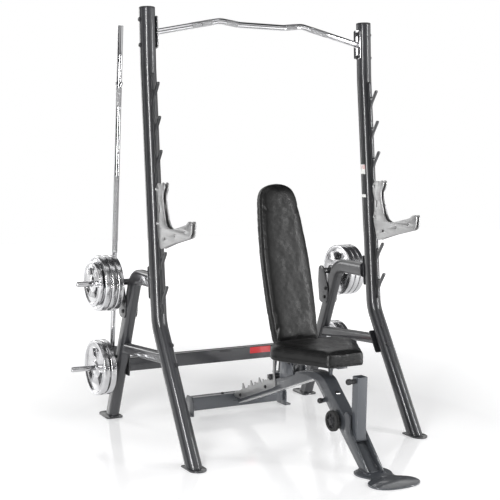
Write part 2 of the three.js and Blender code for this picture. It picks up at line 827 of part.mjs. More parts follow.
// One bar hook: two plates astride the rail, tied by two pins and a web inside the arm.
function barHook(side) {
  const x = side * UPRIGHT_X;
  const holes = [
    circlePath(-42, 1012, 7, 10),
    circlePath(-150, 1038, 7, 10),
    circlePath(-250, 1062, 7, 10),
    slotPath([18, 1150], 6, 17),
  ];
  const plates = [-1, 1].map((face) => {
    const shape = outlineShape(hookOutline());
    shape.holes.push(...holes);
    return sidePlate(shape, x + face * HOOK_PLATE_INNER, x + face * HOOK_PLATE_OUTER);
  });
  const pinReach = HOOK_PLATE_INNER + 1;
  const pins = [hookPinLow, hookPinHigh].map((place) =>
    crossRod(x - pinReach, x + pinReach, place, HOOK_PIN_RADIUS, 12),
  );
  const web = sidePlate(
    outlineShape([
      [-90, 1044],
      [-284, 1088],
      [-290, 1060],
      [-110, 1014],
    ]),
    x - pinReach,
    x + pinReach,
  );
  return join(...plates, ...pins, web);
}

// ---------------------------------------------------------------- bench frame
const spineAlong = [Math.cos(SPINE_SLOPE), -Math.sin(SPINE_SLOPE)];
const spineUp = [Math.sin(SPINE_SLOPE), Math.cos(SPINE_SLOPE)];
const onSpine = leaningFrame(SPINE_ORIGIN, spineAlong, spineUp);

// Where the front leg's rear and front faces stand at a given height.
function legRearEdge(z) {
  return LEG_REAR_AT[0] + (z - LEG_REAR_AT[1]) / LEG_RISE;
}

function legFrontEdge(z) {
  return LEG_FRONT_AT[0] + (z - LEG_FRONT_AT[1]) / LEG_RISE;
}

// The bench's backbone: a beam that climbs from the rear foot, turns over and runs down as the front leg.
function benchSpine() {
  const bottom = FOOT_THICKNESS + GAP;
  const shape = new THREE.Shape();
  const rearTop = onSpine(SPINE_END, SPINE_HALF);
  const rearLow = onSpine(SPINE_END - 24, -SPINE_HALF);
  const crestStart = onSpine(-205, SPINE_HALF);
  const crotch = onSpine(-342, -SPINE_HALF);
  shape.moveTo(...rearLow);
  shape.lineTo(...rearTop);
  shape.lineTo(...crestStart);
  shape.bezierCurveTo(-250, 376, -330, 394, -400, 366);
  shape.bezierCurveTo(-416, 360, -426, 350, legFrontEdge(330), 330);
  shape.lineTo(legFrontEdge(CHANNEL_TOP), CHANNEL_TOP);
  shape.lineTo(legFrontEdge(CHANNEL_TOP - 10) + CHANNEL_DEPTHS[0], CHANNEL_TOP - 10);
  shape.lineTo(legFrontEdge(bottom) + CHANNEL_DEPTHS[1], bottom);
  shape.lineTo(legRearEdge(bottom), bottom);
  shape.lineTo(legRearEdge(300), 300);
  shape.quadraticCurveTo(-318, 343, ...crotch);
  shape.lineTo(...rearLow);
  const half = SPINE_HALF - TUBE_WALL;
  const halfBore = SPINE_HALF_WIDTH - TUBE_WALL;
  const slantWall = TUBE_WALL / Math.sin(Math.atan(LEG_RISE));
  const beamHollow = outlineShape([
    onSpine(-150, -half),
    onSpine(-150, half),
    onSpine(SPINE_END + 20, half),
    onSpine(SPINE_END + 20, -half),
  ]);
  const legHollow = outlineShape([
    [legRearEdge(0) - slantWall, 0],
    [legRearEdge(300) - slantWall, 300],
    [legFrontEdge(300) + slantWall, 300],
    [legFrontEdge(CHANNEL_TOP + 6) + slantWall, CHANNEL_TOP + 6],
    [legFrontEdge(CHANNEL_TOP - 4) + CHANNEL_DEPTHS[0] + slantWall, CHANNEL_TOP - 4],
    [legFrontEdge(0) + CHANNEL_DEPTHS[1] + slantWall, 0],
  ]);
  return cutAway(
    sidePlate(shape, BENCH_X - SPINE_HALF_WIDTH, BENCH_X + SPINE_HALF_WIDTH),
    sidePlate(beamHollow, BENCH_X - halfBore, BENCH_X + halfBore),
    sidePlate(legHollow, BENCH_X - halfBore, BENCH_X + halfBore),
  );
}

function benchRearFoot() {
  const halfLength = 285;
  const [backY] = onSpine(SPINE_END, SPINE_HALF);
  const yFrom = backY + 3;
  const yTo = yFrom + 60;
  const beam = block(BENCH_X - halfLength, BENCH_X + halfLength, yFrom, yTo, 26, 98);
  const hollowHalf = halfLength - 2 * TUBE_WALL;
  const hollow = block(
    BENCH_X - hollowHalf,
    BENCH_X + hollowHalf,
    yFrom + TUBE_WALL,
    yTo - TUBE_WALL,
    20,
    98 - TUBE_WALL,
  );
  const pieces = [beam];
  for (const side of [LEFT, RIGHT]) {
    const x = BENCH_X + side * halfLength;
    const end = outlineShape([
      [yFrom - 18, 0],
      [yTo + 18, 0],
      [yTo + 18, 74],
      [yTo - 2, 104],
      [yFrom + 2, 104],
      [yFrom - 18, 74],
    ]);
    pieces.push(sidePlate(end, x - side, x + side * 6));
    const pad = side === LEFT ? [x - 38, x] : [x, x + 38];
    pieces.push(block(pad[0], pad[1], yFrom - 12, yTo + 12, 0, 7));
  }
  return cutAway(join(...pieces), hollow);
}

function benchFrontFoot() {
  const shape = new THREE.Shape();
  shape.moveTo(0, -700);
  shape.bezierCurveTo(-60, -696, -88, -728, -88, -766);
  shape.bezierCurveTo(-88, -806, -66, -818, -66, -842);
  shape.bezierCurveTo(-66, -864, -126, -868, -126, -926);
  shape.bezierCurveTo(-126, -980, -70, -1000, 0, -1000);
  shape.bezierCurveTo(70, -1000, 126, -980, 126, -926);
  shape.bezierCurveTo(126, -868, 66, -864, 66, -842);
  shape.bezierCurveTo(66, -818, 88, -806, 88, -766);
  shape.bezierCurveTo(88, -728, 60, -696, 0, -700);
  const plate = floorPlate(shape, 0, FOOT_THICKNESS);
  plate.translate(BENCH_X, 0, 0);
  return plate;
}

// Thick cheeks on both sides of the lower front leg. With the leg's set-back face they make an open
// channel, and each ends in a round lobe beside the post.
function legCheek(side) {
  const bottom = FOOT_THICKNESS + GAP;
  const behind = 58;
  const proud = 8;
  const footProud = -22;
  const shape = new THREE.Shape();
  shape.moveTo(legRearEdge(bottom) - behind, bottom);
  shape.lineTo(legRearEdge(150) - behind, 150);
  shape.lineTo(-592, 215);
  shape.bezierCurveTo(-592, 258, -634, 262, -640, 226);
  shape.lineTo(-641, 196);
  shape.lineTo(legFrontEdge(165) - proud, 165);
  shape.lineTo(legFrontEdge(bottom) - footProud, bottom);
  shape.lineTo(legRearEdge(bottom) - behind, bottom);
  const inner = SPINE_HALF_WIDTH + GAP;
  return sidePlate(shape, BENCH_X + side * inner, BENCH_X + side * (inner + CHEEK_THICKNESS));
}

// A square socket tube for attachments, open at the top, with its foot cut to the leg.
function receiverPost() {
  const rear = POST_Y + POST_HALF;
  const front = POST_Y - POST_HALF;
  const legTop = (y) => LEG_FRONT_AT[1] + (y - LEG_FRONT_AT[0]) * LEG_RISE + 1;
  const outline = outlineShape([
    [rear, legTop(rear)],
    [rear, POST_TOP],
    [front, POST_TOP],
    [front, legTop(front)],
  ]);
  const outer = sidePlate(outline, BENCH_X - POST_HALF, BENCH_X + POST_HALF);
  const innerHalf = POST_HALF - POST_WALL;
  const bore = block(
    BENCH_X - innerHalf,
    BENCH_X + innerHalf,
    POST_Y - innerHalf,
    POST_Y + innerHalf,
    90,
    POST_TOP + 10,
  );
  const pinHole = crossRod(BENCH_X - POST_HALF - 5, BENCH_X, [POST_Y, POST_PIN_HEIGHT], 6.5, 12);
  return cutAway(outer, bore, pinHole);
}

// The toothed ladder plates on both sides of the spine, with a tall guard arm at the front.
function comb(side) {
  const points = [
    [2, -6],
    [40, -12],
    [390, -12],
    [440, 6],
    [452, 20],
    [440, 34],
    [TOOTH_PITCH * TOOTH_COUNT + 6, NOTCH_FLOOR],
  ];
  for (let i = TOOTH_COUNT - 1; i >= 0; i -= 1) {
    const tip = FIRST_TOOTH + i * TOOTH_PITCH;
    points.push([tip + 14, NOTCH_FLOOR + 3]);
    points.push([tip + 5, TOOTH_TIP - 8]);
    points.push([tip + 2, TOOTH_TIP]);
    points.push([tip - 3, TOOTH_TIP - 1]);
    points.push([tip - 8, TOOTH_TIP - 12]);
    points.push([tip - 16, NOTCH_FLOOR]);
    points.push([tip - 46, NOTCH_FLOOR]);
    if (i > 0) {
      points.push([tip - 52, NOTCH_FLOOR + 8]);
      points.push([tip - 60, NOTCH_FLOOR + 10]);
    }
  }
  const outline = points.map(([along, square]) => onSpine(along, square));
  const guardBack = onSpine(FIRST_TOOTH - 48, NOTCH_FLOOR + 3);
  outline.push(guardBack);
  outline.push([guardBack[0] + 1, 392]);
  outline.push([guardBack[0] - 6, 400]);
  outline.push([guardBack[0] - 13, 392]);
  outline.push([guardBack[0] - 15, 300]);
  const inner = SPINE_HALF_WIDTH + GAP;
  return sidePlate(
    outlineShape(outline),
    BENCH_X + side * inner,
    BENCH_X + side * (inner + COMB_THICKNESS),
  );
}

// The square bar that lies in one pair of notches and carries the strut.
function stopBar() {
  const low = NOTCH_FLOOR + GAP;
  const high = low + 2 * STOP_BAR_HALF;
  const from = STOP_BAR_ALONG - STOP_BAR_HALF;
  const to = STOP_BAR_ALONG + STOP_BAR_HALF;
  const shape = outlineShape([
    onSpine(from, low),
    onSpine(to, low),
    onSpine(to, high),
    onSpine(from, high),
  ]);
  return sidePlate(shape, BENCH_X - 48, BENCH_X + 48);
}

// Two lugs standing on the spine carry the backrest pin and the seat pin.
function hingeBracket() {
  const shape = outlineShape([
    [-140, 326],
    [-20, 284],
    [-12, 300],
    [-24, 404],
    [-32, 421],
    [-45, 427],
    [-55, 420],
    [-60, 396],
    [-68, 382],
    [-90, 389],
    [-112, 388],
    [-128, 374],
  ]);
  const inner = SPINE_HALF_WIDTH + GAP;
  const lugs = [LEFT, RIGHT].map((side) =>
    sidePlate(shape, BENCH_X + side * inner, BENCH_X + side * (inner + 6)),
  );
  const reach = inner + 1;
  return join(
    ...lugs,
    crossRod(BENCH_X - reach, BENCH_X + reach, BACK_HINGE, 8, 16),
    crossRod(BENCH_X - reach, BENCH_X + reach, SEAT_HINGE, 6, 16),
  );
}

// ---------------------------------------------------------------- backrest
const backUp = [Math.sin(BACK_LEAN), Math.cos(BACK_LEAN)];
const backRear = [Math.cos(BACK_LEAN), -Math.sin(BACK_LEAN)];
const onBack = leaningFrame(BACK_HINGE, backUp, backRear);
const backPadRear = BACK_PAD_FACE + BACK_PAD_THICKNESS;
const strutPivot = onBack(STRUT_PIVOT_ALONG, 4);

// The frame behind the backrest pad: one long channel bar, hinge lugs below and strut lugs behind.
function backFrame() {
  const front = backPadRear + GAP;
  const bar = outlineShape([
    onBack(84, front),
    onBack(84, front + 28),
    onBack(720, front + 28),
    onBack(720, front),
  ]);
  const hingeLug = outlineShape([
    onBack(120, front + 4),
    onBack(80, front + 4),
    onBack(20, -16),
    onBack(-6, -14),
    onBack(-15, 0),
    onBack(-6, 14),
    onBack(10, 16),
    onBack(60, 6),
    onBack(120, front + 27),
  ]);
  hingeLug.holes.push(circlePath(...BACK_HINGE, 8.6, 16));
  const strutLug = outlineShape([
    onBack(210, front + 24),
    onBack(236, 14),
    onBack(250, 19),
    onBack(264, 14),
    onBack(290, front + 24),
  ]);
  const pieces = [sidePlate(bar, BENCH_X - 25, BENCH_X + 25)];
  for (const side of [LEFT, RIGHT]) {
    pieces.push(sidePlate(hingeLug, BENCH_X + side * 19, BENCH_X + side * 25));
    pieces.push(sidePlate(strutLug, BENCH_X + side * 5, BENCH_X + side * 11));
  }
  pieces.push(crossRod(BENCH_X - 27, BENCH_X + 27, strutPivot, 6, 14));
  const hollow = outlineShape([
    onBack(83, front + TUBE_WALL),
    onBack(83, front + 28 - TUBE_WALL),
    onBack(720 - TUBE_WALL, front + 28 - TUBE_WALL),
    onBack(720 - TUBE_WALL, front + TUBE_WALL),
  ]);
  return cutAway(join(...pieces), sidePlate(hollow, BENCH_X - 25 + TUBE_WALL, BENCH_X + 25 - TUBE_WALL));
}

function backPad() {
  const halfBottom = 126;
  const halfWide = 143;
  const halfTop = 112;
  const top = BACK_PAD_START + BACK_PAD_LENGTH;
  const shape = new THREE.Shape();
  shape.moveTo(-halfBottom + 22, BACK_PAD_START);
  shape.lineTo(halfBottom - 22, BACK_PAD_START);
  shape.quadraticCurveTo(halfBottom, BACK_PAD_START, halfBottom + 3, BACK_PAD_START + 26);
  shape.bezierCurveTo(halfWide, 260, halfWide, 380, halfWide - 2, 460);
  shape.bezierCurveTo(halfWide - 8, 600, halfTop + 10, 700, halfTop, top - 90);
  shape.bezierCurveTo(halfTop - 12, top - 20, halfTop - 50, top, 0, top);
  shape.bezierCurveTo(-halfTop + 50, top, -halfTop + 12, top - 20, -halfTop, top - 90);
  shape.bezierCurveTo(-halfTop - 10, 700, -halfWide + 8, 600, -halfWide + 2, 460);
  shape.bezierCurveTo(-halfWide, 380, -halfWide, 260, -halfBottom - 3, BACK_PAD_START + 26);
  shape.quadraticCurveTo(-halfBottom, BACK_PAD_START, -halfBottom + 22, BACK_PAD_START);
  const pad = new THREE.ExtrudeGeometry(shape, {
    depth: BACK_PAD_THICKNESS - 14,
    bevelEnabled: true,
    bevelThickness: 7,
    bevelSize: 7,
    bevelOffset: -7,
    bevelSegments: 1,
    curveSegments: CURVE_STEPS,
  });
  const turn = new THREE.Matrix4().makeBasis(
    new THREE.Vector3(-1, 0, 0),
    new THREE.Vector3(0, ...backUp),
    new THREE.Vector3(0, ...backRear),
  );
  pad.applyMatrix4(turn);
  const [y, z] = onBack(0, BACK_PAD_FACE + 7);
  pad.translate(BENCH_X, y, z);
  return pad;
}

// The strut: two flat legs joined by a sleeve round the pivot pin and a foot plate over the stop bar.
const strutFoot = onSpine(STOP_BAR_ALONG, NOTCH_FLOOR + 2 * STOP_BAR_HALF + 2 * GAP);
const strutDown = new THREE.Vector2(
  strutFoot[0] - strutPivot[0],
  strutFoot[1] - strutPivot[1],
);
const strutLength = strutDown.length();
strutDown.normalize();
const onStrut = leaningFrame(strutPivot, [strutDown.x, strutDown.y], [-strutDown.y, strutDown.x]);

function supportStrut() {
  const leg = outlineShape([
    onStrut(-12, -6),
    onStrut(-15, 0),
    onStrut(-12, 6),
    onStrut(0, 14),
    onStrut(40, 15),
    onStrut(strutLength - 9, 12),
    onStrut(strutLength - 9, -12),
    onStrut(40, -15),
    onStrut(0, -14),
  ]);
  leg.holes.push(circlePath(...strutPivot, 6.6, 14));
  const foot = outlineShape([
    onStrut(strutLength - 14, 13),
    onStrut(strutLength - 7, 13),
    onStrut(strutLength - 7, -13),
    onStrut(strutLength - 14, -13),
  ]);
  return join(
    sidePlate(leg, BENCH_X - 19.5, BENCH_X - 13.5),
    sidePlate(leg, BENCH_X + 13.5, BENCH_X + 19.5),
    sidePlate(foot, BENCH_X - 19.5, BENCH_X + 19.5),
  );
}

// ---------------------------------------------------------------- seat
const onSeat = leaningFrame(SEAT_HINGE, [-1, 0], [0, 1]);

function seatFrame() {
  const barLow = SEAT_PAD_BOTTOM - 15;
  const barHigh = SEAT_PAD_BOTTOM - GAP;
  const bar = outlineShape([
    onSeat(-9, barHigh),
    onSeat(410, barHigh),
    onSeat(410, barLow + 2),
    onSeat(330, barLow),
    onSeat(-9, barLow),
  ]);
  const lug = outlineShape([
    onSeat(-9, barLow + 10),
    onSeat(-12, 0),
    onSeat(-8, -10),
    onSeat(8, -10),
    onSeat(16, 4),
    onSeat(70, barLow),
    onSeat(70, barLow + 10),
  ]);
  lug.holes.push(circlePath(...SEAT_HINGE, 6.6, 16));
  const tongue = outlineShape([
    onSeat(294, barLow + 2),
    onSeat(326, barLow + 2),
    onSeat(320, 4),
    onSeat(310, -4),
    onSeat(300, 4),
  ]);
  const pieces = [sidePlate(bar, BENCH_X - 26, BENCH_X + 26)];
  for (const side of [LEFT, RIGHT]) {
    pieces.push(sidePlate(lug, BENCH_X + side * 18, BENCH_X + side * 24));
  }
  pieces.push(sidePlate(tongue, BENCH_X - 5, BENCH_X + 5));
  return join(...pieces);
}

// The seat is widest across its shoulders, tapers to a narrow front and rounds in towards the backrest.
function seatPad() {
  const back = 58;
  const front = 446;
  const halfShoulder = 240;
  const halfFront = 108;
  const shape = new THREE.Shape();
  shape.moveTo(-100, back);
  shape.lineTo(100, back);
  shape.bezierCurveTo(180, back, halfShoulder - 2, 105, halfShoulder, 160);
  shape.bezierCurveTo(halfShoulder, 175, halfShoulder - 4, 190, halfShoulder - 10, 204);
  shape.lineTo(halfFront, front - 16);
  shape.quadraticCurveTo(halfFront - 7, front, halfFront - 24, front);
  shape.lineTo(24 - halfFront, front);
  shape.quadraticCurveTo(7 - halfFront, front, -halfFront, front - 16);
  shape.lineTo(10 - halfShoulder, 204);
  shape.bezierCurveTo(4 - halfShoulder, 190, -halfShoulder, 175, -halfShoulder, 160);
  shape.bezierCurveTo(2 - halfShoulder, 105, -180, back, -100, back);
  const pad = new THREE.ExtrudeGeometry(shape, {
    depth: SEAT_PAD_THICKNESS - 14,
    bevelEnabled: true,
    bevelThickness: 7,
    bevelSize: 7,
    bevelOffset: -7,
    bevelSegments: 1,
    curveSegments: CURVE_STEPS,
  });
  const turn = new THREE.Matrix4().makeBasis(
    new THREE.Vector3(-1, 0, 0),
    new THREE.Vector3(0, -1, 0),
    new THREE.Vector3(0, 0, 1),
  );
  pad.applyMatrix4(turn);
  const [y, z] = onSeat(0, SEAT_PAD_BOTTOM + 7);
  pad.translate(BENCH_X, y, z);
  return pad;
}

// ---------------------------------------------------------------- bench fittings
function axle() {
  const start = SPINE_HALF_WIDTH + GAP;
  const [left, right] = [LEFT, RIGHT].map((side) =>
    crossRod(BENCH_X + side * start, BENCH_X + side * (start + 40), WHEEL_CENTRE, 6, 14),
  );
  return { left, right };
}

function wheel(side) {
  const from = SPINE_HALF_WIDTH + GAP + 9;
  const bore = 6.6;
  const profile = [
    [0, bore],
    [0, 18],
    [4, 20],
    [4, WHEEL_RADIUS - 4],
    [8, WHEEL_RADIUS],
    [22, WHEEL_RADIUS],
    [26, WHEEL_RADIUS - 4],
    [26, WHEEL_RADIUS - 12],
    [20, WHEEL_RADIUS - 15],
    [20, 20],
    [27, 17],
    [27, bore],
    [0, bore],
  ];
  const start = inPlane(BENCH_X + side * from, WHEEL_CENTRE);
  const end = inPlane(BENCH_X + side * (from + 27), WHEEL_CENTRE);
  return turned(profile, start, end, 24);
}

// A spring pull pin: a turned knob on a stem that slides in a housing.
function pullPin([y, z], stemEnd, knobStart, stemRadius, knobRadius) {
  const from = new THREE.Vector3(stemEnd, y, z);
  const length = stemEnd - knobStart + 24;
  const to = new THREE.Vector3(stemEnd - length, y, z);
  const neck = stemEnd - knobStart;
  const profile = [
    [0, 0],
    [0, stemRadius - 1],
    [1, stemRadius],
    [neck, stemRadius],
    [neck, knobRadius - 3],
    [neck + 5, knobRadius],
    [neck + 18, knobRadius],
    [neck + 24, knobRadius - 5],
    [neck + 24, 0],
  ];
  return turned(profile, from, to, 14);
}

function pinHousing([y, z], from, to, outer, bore) {
  const profile = [
    [0, bore],
    [0, outer],
    [from - to, outer],
    [from - to, bore],
    [0, bore],
  ];
  return turned(profile, new THREE.Vector3(from, y, z), new THREE.Vector3(to, y, z), 14);
}

const POST_PIN = [POST_Y, POST_PIN_HEIGHT];
const SEAT_PIN = [-400, 256];

function seatPinHousing() {
  const tube = pinHousing(SEAT_PIN, BENCH_X + 16, BENCH_X - 34, 11, 5.6);
  const rearFace = (z) => [legRearEdge(z) + GAP / 0.65, z];
  const web = sidePlate(
    outlineShape([rearFace(278), rearFace(238), [-404, 247], [-392, 266]]),
    BENCH_X - 5,
    BENCH_X + 5,
  );
  const bore = crossRod(BENCH_X - 40, BENCH_X + 20, SEAT_PIN, 5.6, 14);
  return cutAway(join(tube, web), bore);
}

// ---------------------------------------------------------------- assembly
function buildRack() {
  for (const side of [LEFT, RIGHT]) {
    const label = sideName(side);
    addPiece(`upright_${label}`, upright(side), "frame");
    addPiece(`upright_cap_${label}`, uprightCap(side), "plastic");
    addPiece(`catch_rail_${label}`, catchRail(side), "frame");
    addPiece(`rear_leg_${label}`, rearLeg(side), "frame");
    addPiece(`lower_brace_${label}`, lowerBrace(side), "frame");
    addPiece(`peg_bracket_${label}`, pegBracket(side), "frame");
    const bracketOuter = LEG_X + LEG_WIDTH / 2 + 2 * GAP + BRACKET_THICKNESS;
    const legOuter = LEG_X + LEG_WIDTH / 2 + GAP;
    addPiece(`upper_peg_${label}`, peg(side, UPPER_PEG, bracketOuter, 676), "chrome");
    addPiece(`lower_peg_${label}`, peg(side, LOWER_PEG, legOuter, 682), "chrome");
    addPiece(`bar_hook_${label}`, barHook(side), "silver");
  }
  addPiece("crossbar", crossbar(), "frame");
  addPiece("pullup_bar", pullupBar(), "chrome");
}

function buildWeights() {
  for (const side of [LEFT, RIGHT]) {
    const label = sideName(side);
    for (const plan of UPPER_PLATES) {
      addPiece(`upper_${plan.label}_plate_${label}`, weightPlate(side, UPPER_PEG, plan), "chrome");
    }
    for (const plan of LOWER_PLATES) {
      addPiece(`lower_${plan.label}_plate_${label}`, weightPlate(side, LOWER_PEG, plan), "chrome");
    }
  }
  addPiece("bar_socket", barSocket(), "frame");
  addPiece("barbell_shaft", barShaft(), "chrome");
  addPiece("barbell_head_sleeve", barSleeve(alongBar(barLength - BAR_SLEEVE), BAR_HEAD), "chrome");
  addPiece("barbell_foot_sleeve", barSleeve(alongBar(BAR_SLEEVE), BAR_FOOT), "chrome");
}

function buildBench() {
  addPiece("bench_spine", benchSpine(), "bench");
  addPiece("bench_rear_foot", benchRearFoot(), "bench");
  addPiece("bench_front_foot", benchFrontFoot(), "bench");
  addPiece("receiver_post", receiverPost(), "bench");
  addPiece("stop_bar", stopBar(), "plastic");
  addPiece("hinge_bracket", hingeBracket(), "bench");
  addPiece("back_frame", backFrame(), "bench");
  addPiece("back_pad", backPad(), "leather");
  addPiece("support_strut", supportStrut(), "bench");
  addPiece("seat_frame", seatFrame(), "bench");
  addPiece("seat_pad", seatPad(), "leather");
  const axles = axle();
  for (const side of [LEFT, RIGHT]) {
    const label = sideName(side);
    addPiece(`leg_cheek_${label}`, legCheek(side), "bench");
    addPiece(`comb_${label}`, comb(side), "silver");
    addPiece(`axle_${label}`, axles[label], "silver");
    addPiece(`wheel_${label}`, wheel(side), "plastic");
  }
  const postFace = BENCH_X - POST_HALF - GAP;
  addPiece("post_pin_housing", pinHousing(POST_PIN, postFace, postFace - 22, 11, 5.6), "plastic");
  addPiece("post_pin", pullPin(POST_PIN, postFace + 6, postFace - 23, 5, 14), "plastic");
  addPiece("seat_pin_housing", seatPinHousing(), "bench");
  addPiece("seat_pin", pullPin(SEAT_PIN, BENCH_X + 14, BENCH_X - 35, 5, 13), "plastic");
}

buildRack();
buildWeights();
buildBench();

export default station;
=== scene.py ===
"""Looks for a free-weight training station: half rack, weights on pegs, stored bar, adjustable bench.

Metres, +Z up, +X across the rack, +Y towards the back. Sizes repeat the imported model's own.
"""

import json
import math

import bmesh
import bpy
from mathutils import Matrix, Quaternion, Vector, noise
from mathutils.bvhtree import BVHTree
from mathutils.kdtree import KDTree


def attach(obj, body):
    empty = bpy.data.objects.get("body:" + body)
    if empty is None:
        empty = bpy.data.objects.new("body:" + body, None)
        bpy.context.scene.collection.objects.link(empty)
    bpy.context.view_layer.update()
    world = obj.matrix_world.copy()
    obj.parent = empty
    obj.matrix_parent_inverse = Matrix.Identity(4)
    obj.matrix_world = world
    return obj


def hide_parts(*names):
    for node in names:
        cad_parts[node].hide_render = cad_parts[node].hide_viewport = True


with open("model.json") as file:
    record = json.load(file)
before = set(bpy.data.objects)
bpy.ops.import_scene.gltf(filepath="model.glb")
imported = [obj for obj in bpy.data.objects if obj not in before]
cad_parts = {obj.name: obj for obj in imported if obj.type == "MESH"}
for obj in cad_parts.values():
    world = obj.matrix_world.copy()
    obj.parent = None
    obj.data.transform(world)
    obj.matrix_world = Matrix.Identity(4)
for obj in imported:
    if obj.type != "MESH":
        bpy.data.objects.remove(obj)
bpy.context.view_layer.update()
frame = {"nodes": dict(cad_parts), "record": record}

SIDES = (("left", -1), ("right", 1))
MM = 0.001

# ---------------------------------------------------------------- rack dimensions, metres
UPRIGHT_X = 0.625
UPRIGHT_RADIUS = 0.038
UPRIGHT_POINTS = ((-0.220, 0.008), (0.160, 0.600), (0.310, 1.800), (0.332, 2.090))
UPRIGHT_RADII = (0.180, 0.600)
CAP_TALL = 0.010
LEG_X = 0.607
LEG_POINTS = ((0.275, 0.790), (0.477, 0.790), (0.773, 0.008))
LEG_RADIUS = 0.095
LEG_DEPTH = 0.072
LEG_WIDTH = 0.056
LEG_CORNER = 0.020
BRACE_POINTS = ((0.093, 0.440), (0.571, 0.402))
BRACE_SIZE = 0.050
BRACE_ALONG = 0.525
LEG_JOINT_ALONG = 0.190
SADDLE_ALONG = 0.196
SADDLE_TALL = 0.156
SADDLE_WIDE = 0.060
CROSSBAR_Y = 0.659
CROSSBAR_Z = 0.302
CROSSBAR_DEEP = 0.050
CROSSBAR_TALL = 0.070
PULLUP_Y = 0.327
PULLUP_POINTS = ((0.581, 1.976), (0.236, 2.050), (0.130, 2.037))
PULLUP_RADIUS = 0.015
UPPER_PEG = (0.595, 0.742)
LOWER_PEG = (0.666, 0.297)
FOOT_THICKNESS = 0.008
FLANGE = 0.006
GAP = 0.0004
KNURL_RISE = 0.0004
RAIL_HALF = 0.006

# ---------------------------------------------------------------- bench dimensions, metres
BENCH_X = 0.060
BACK_HINGE = (0.080, 0.405)
BACK_LEAN = math.radians(17.2)
SEAT_HINGE = (0.025, 0.378)
SEAT_BOTTOM = 0.062
SEAT_THICKNESS = 0.074
SEAT_PIN = (-0.275, 0.256)
SPINE_ORIGIN = (0.153, 0.241)
SPINE_SLOPE = math.atan(0.39)
POST_Y = -0.525
POST_TOP = 0.420
POST_HALF = 0.026
POST_PIN = (POST_Y, 0.400)
WHEEL_CENTRE = (-0.399, 0.190)


# ================================================================ stage
CAMERA_PLACE = (-2.833, -4.567, 1.537)
CAMERA_TURNS = (29.70, 6.34, 1.065)
CAMERA_LENS = 79.96


def look_vectors(yaw, pitch, roll):
    forward = Vector((math.sin(yaw) * math.cos(pitch), math.cos(yaw) * math.cos(pitch), -math.sin(pitch)))
    level_right = Vector((math.cos(yaw), -math.sin(yaw), 0))
    level_up = level_right.cross(forward)
    right = level_right * math.cos(roll) + level_up * math.sin(roll)
    up = level_up * math.cos(roll) - level_right * math.sin(roll)
    return forward, right, up


def make_camera():
    forward, right, up = look_vectors(*[math.radians(turn) for turn in CAMERA_TURNS])
    data = bpy.data.cameras.new("camera")
    data.sensor_width = 36
    data.lens = CAMERA_LENS
    data.clip_end = 60
    camera = bpy.data.objects.new("camera", data)
    camera.matrix_world = Matrix((right, up, -forward)).transposed().to_4x4()
    camera.location = CAMERA_PLACE
    bpy.context.scene.collection.objects.link(camera)
    bpy.context.scene.camera = camera


def area_light(name, location, target, size, power):
    data = bpy.data.lights.new(name, "AREA")
    data.shape = "RECTANGLE"
    data.size, data.size_y = size
    data.energy = power
    lamp = bpy.data.objects.new(name, data)
    lamp.location = location
    aim = Vector(target) - Vector(location)
    lamp.rotation_euler = aim.to_track_quat("-Z", "Y").to_euler()
    bpy.context.scene.collection.objects.link(lamp)


def make_lights():
    middle = (0, 0.2, 0.9)
    area_light("key_strip", (-2.7, -2.2, 1.5), middle, (0.28, 2.8), 95)
    area_light("fill_strip", (2.6, -2.6, 1.5), middle, (0.22, 2.8), 62)
    area_light("top_softbox", (-0.4, -0.6, 4.0), middle, (2.2, 1.2), 12)
    area_light("back_strip", (-1.6, 3.4, 1.8), middle, (0.5, 2.6), 20)


def make_world():
    """White to the camera; soft bright and dim patches for everything that mirrors it."""
    world = bpy.data.worlds.new("studio")
    bpy.context.scene.world = world
    world.use_nodes = True
    nodes, links = world.node_tree.nodes, world.node_tree.links
    direction = nodes.new("ShaderNodeTexCoord")
    patches = nodes.new("ShaderNodeTexNoise")
    patches.inputs["Scale"].default_value = 1.7
    patches.inputs["Detail"].default_value = 0
    links.new(direction.outputs["Generated"], patches.inputs["Vector"])
    ramp = nodes.new("ShaderNodeValToRGB")
    ramp.color_ramp.elements[0].position = 0.50
    ramp.color_ramp.elements[0].color = (0.055, 0.055, 0.058, 1)
    ramp.color_ramp.elements[1].position = 0.60
    ramp.color_ramp.elements[1].color = (1.0, 1.0, 1.0, 1)
    links.new(patches.outputs["Fac"], ramp.inputs[0])
    studio = nodes["Background"]
    links.new(ramp.outputs[0], studio.inputs["Color"])
    backdrop = nodes.new("ShaderNodeBackground")
    backdrop.inputs["Color"].default_value = (1, 1, 1, 1)
    rays = nodes.new("ShaderNodeLightPath")
    choice = nodes.new("ShaderNodeMixShader")
    links.new(rays.outputs["Is Camera Ray"], choice.inputs[0])
    links.new(studio.outputs[0], choice.inputs[1])
    links.new(backdrop.outputs[0], choice.inputs[2])
    links.new(choice.outputs[0], nodes["World Output"].inputs["Surface"])
    bpy.context.scene.view_settings.view_transform = "Standard"


def make_floor():
    half = 9.0
    mesh = bpy.data.meshes.new("floor")
    corners = [(-half, -half, 0), (half, -half, 0), (half, half, 0), (-half, half, 0)]
    mesh.from_pydata(corners, [], [(0, 1, 2, 3)])
    floor = bpy.data.objects.new("floor", mesh)
    floor.location.z = -0.0005
    bpy.context.scene.collection.objects.link(floor)
    mesh.materials.append(floor_material())


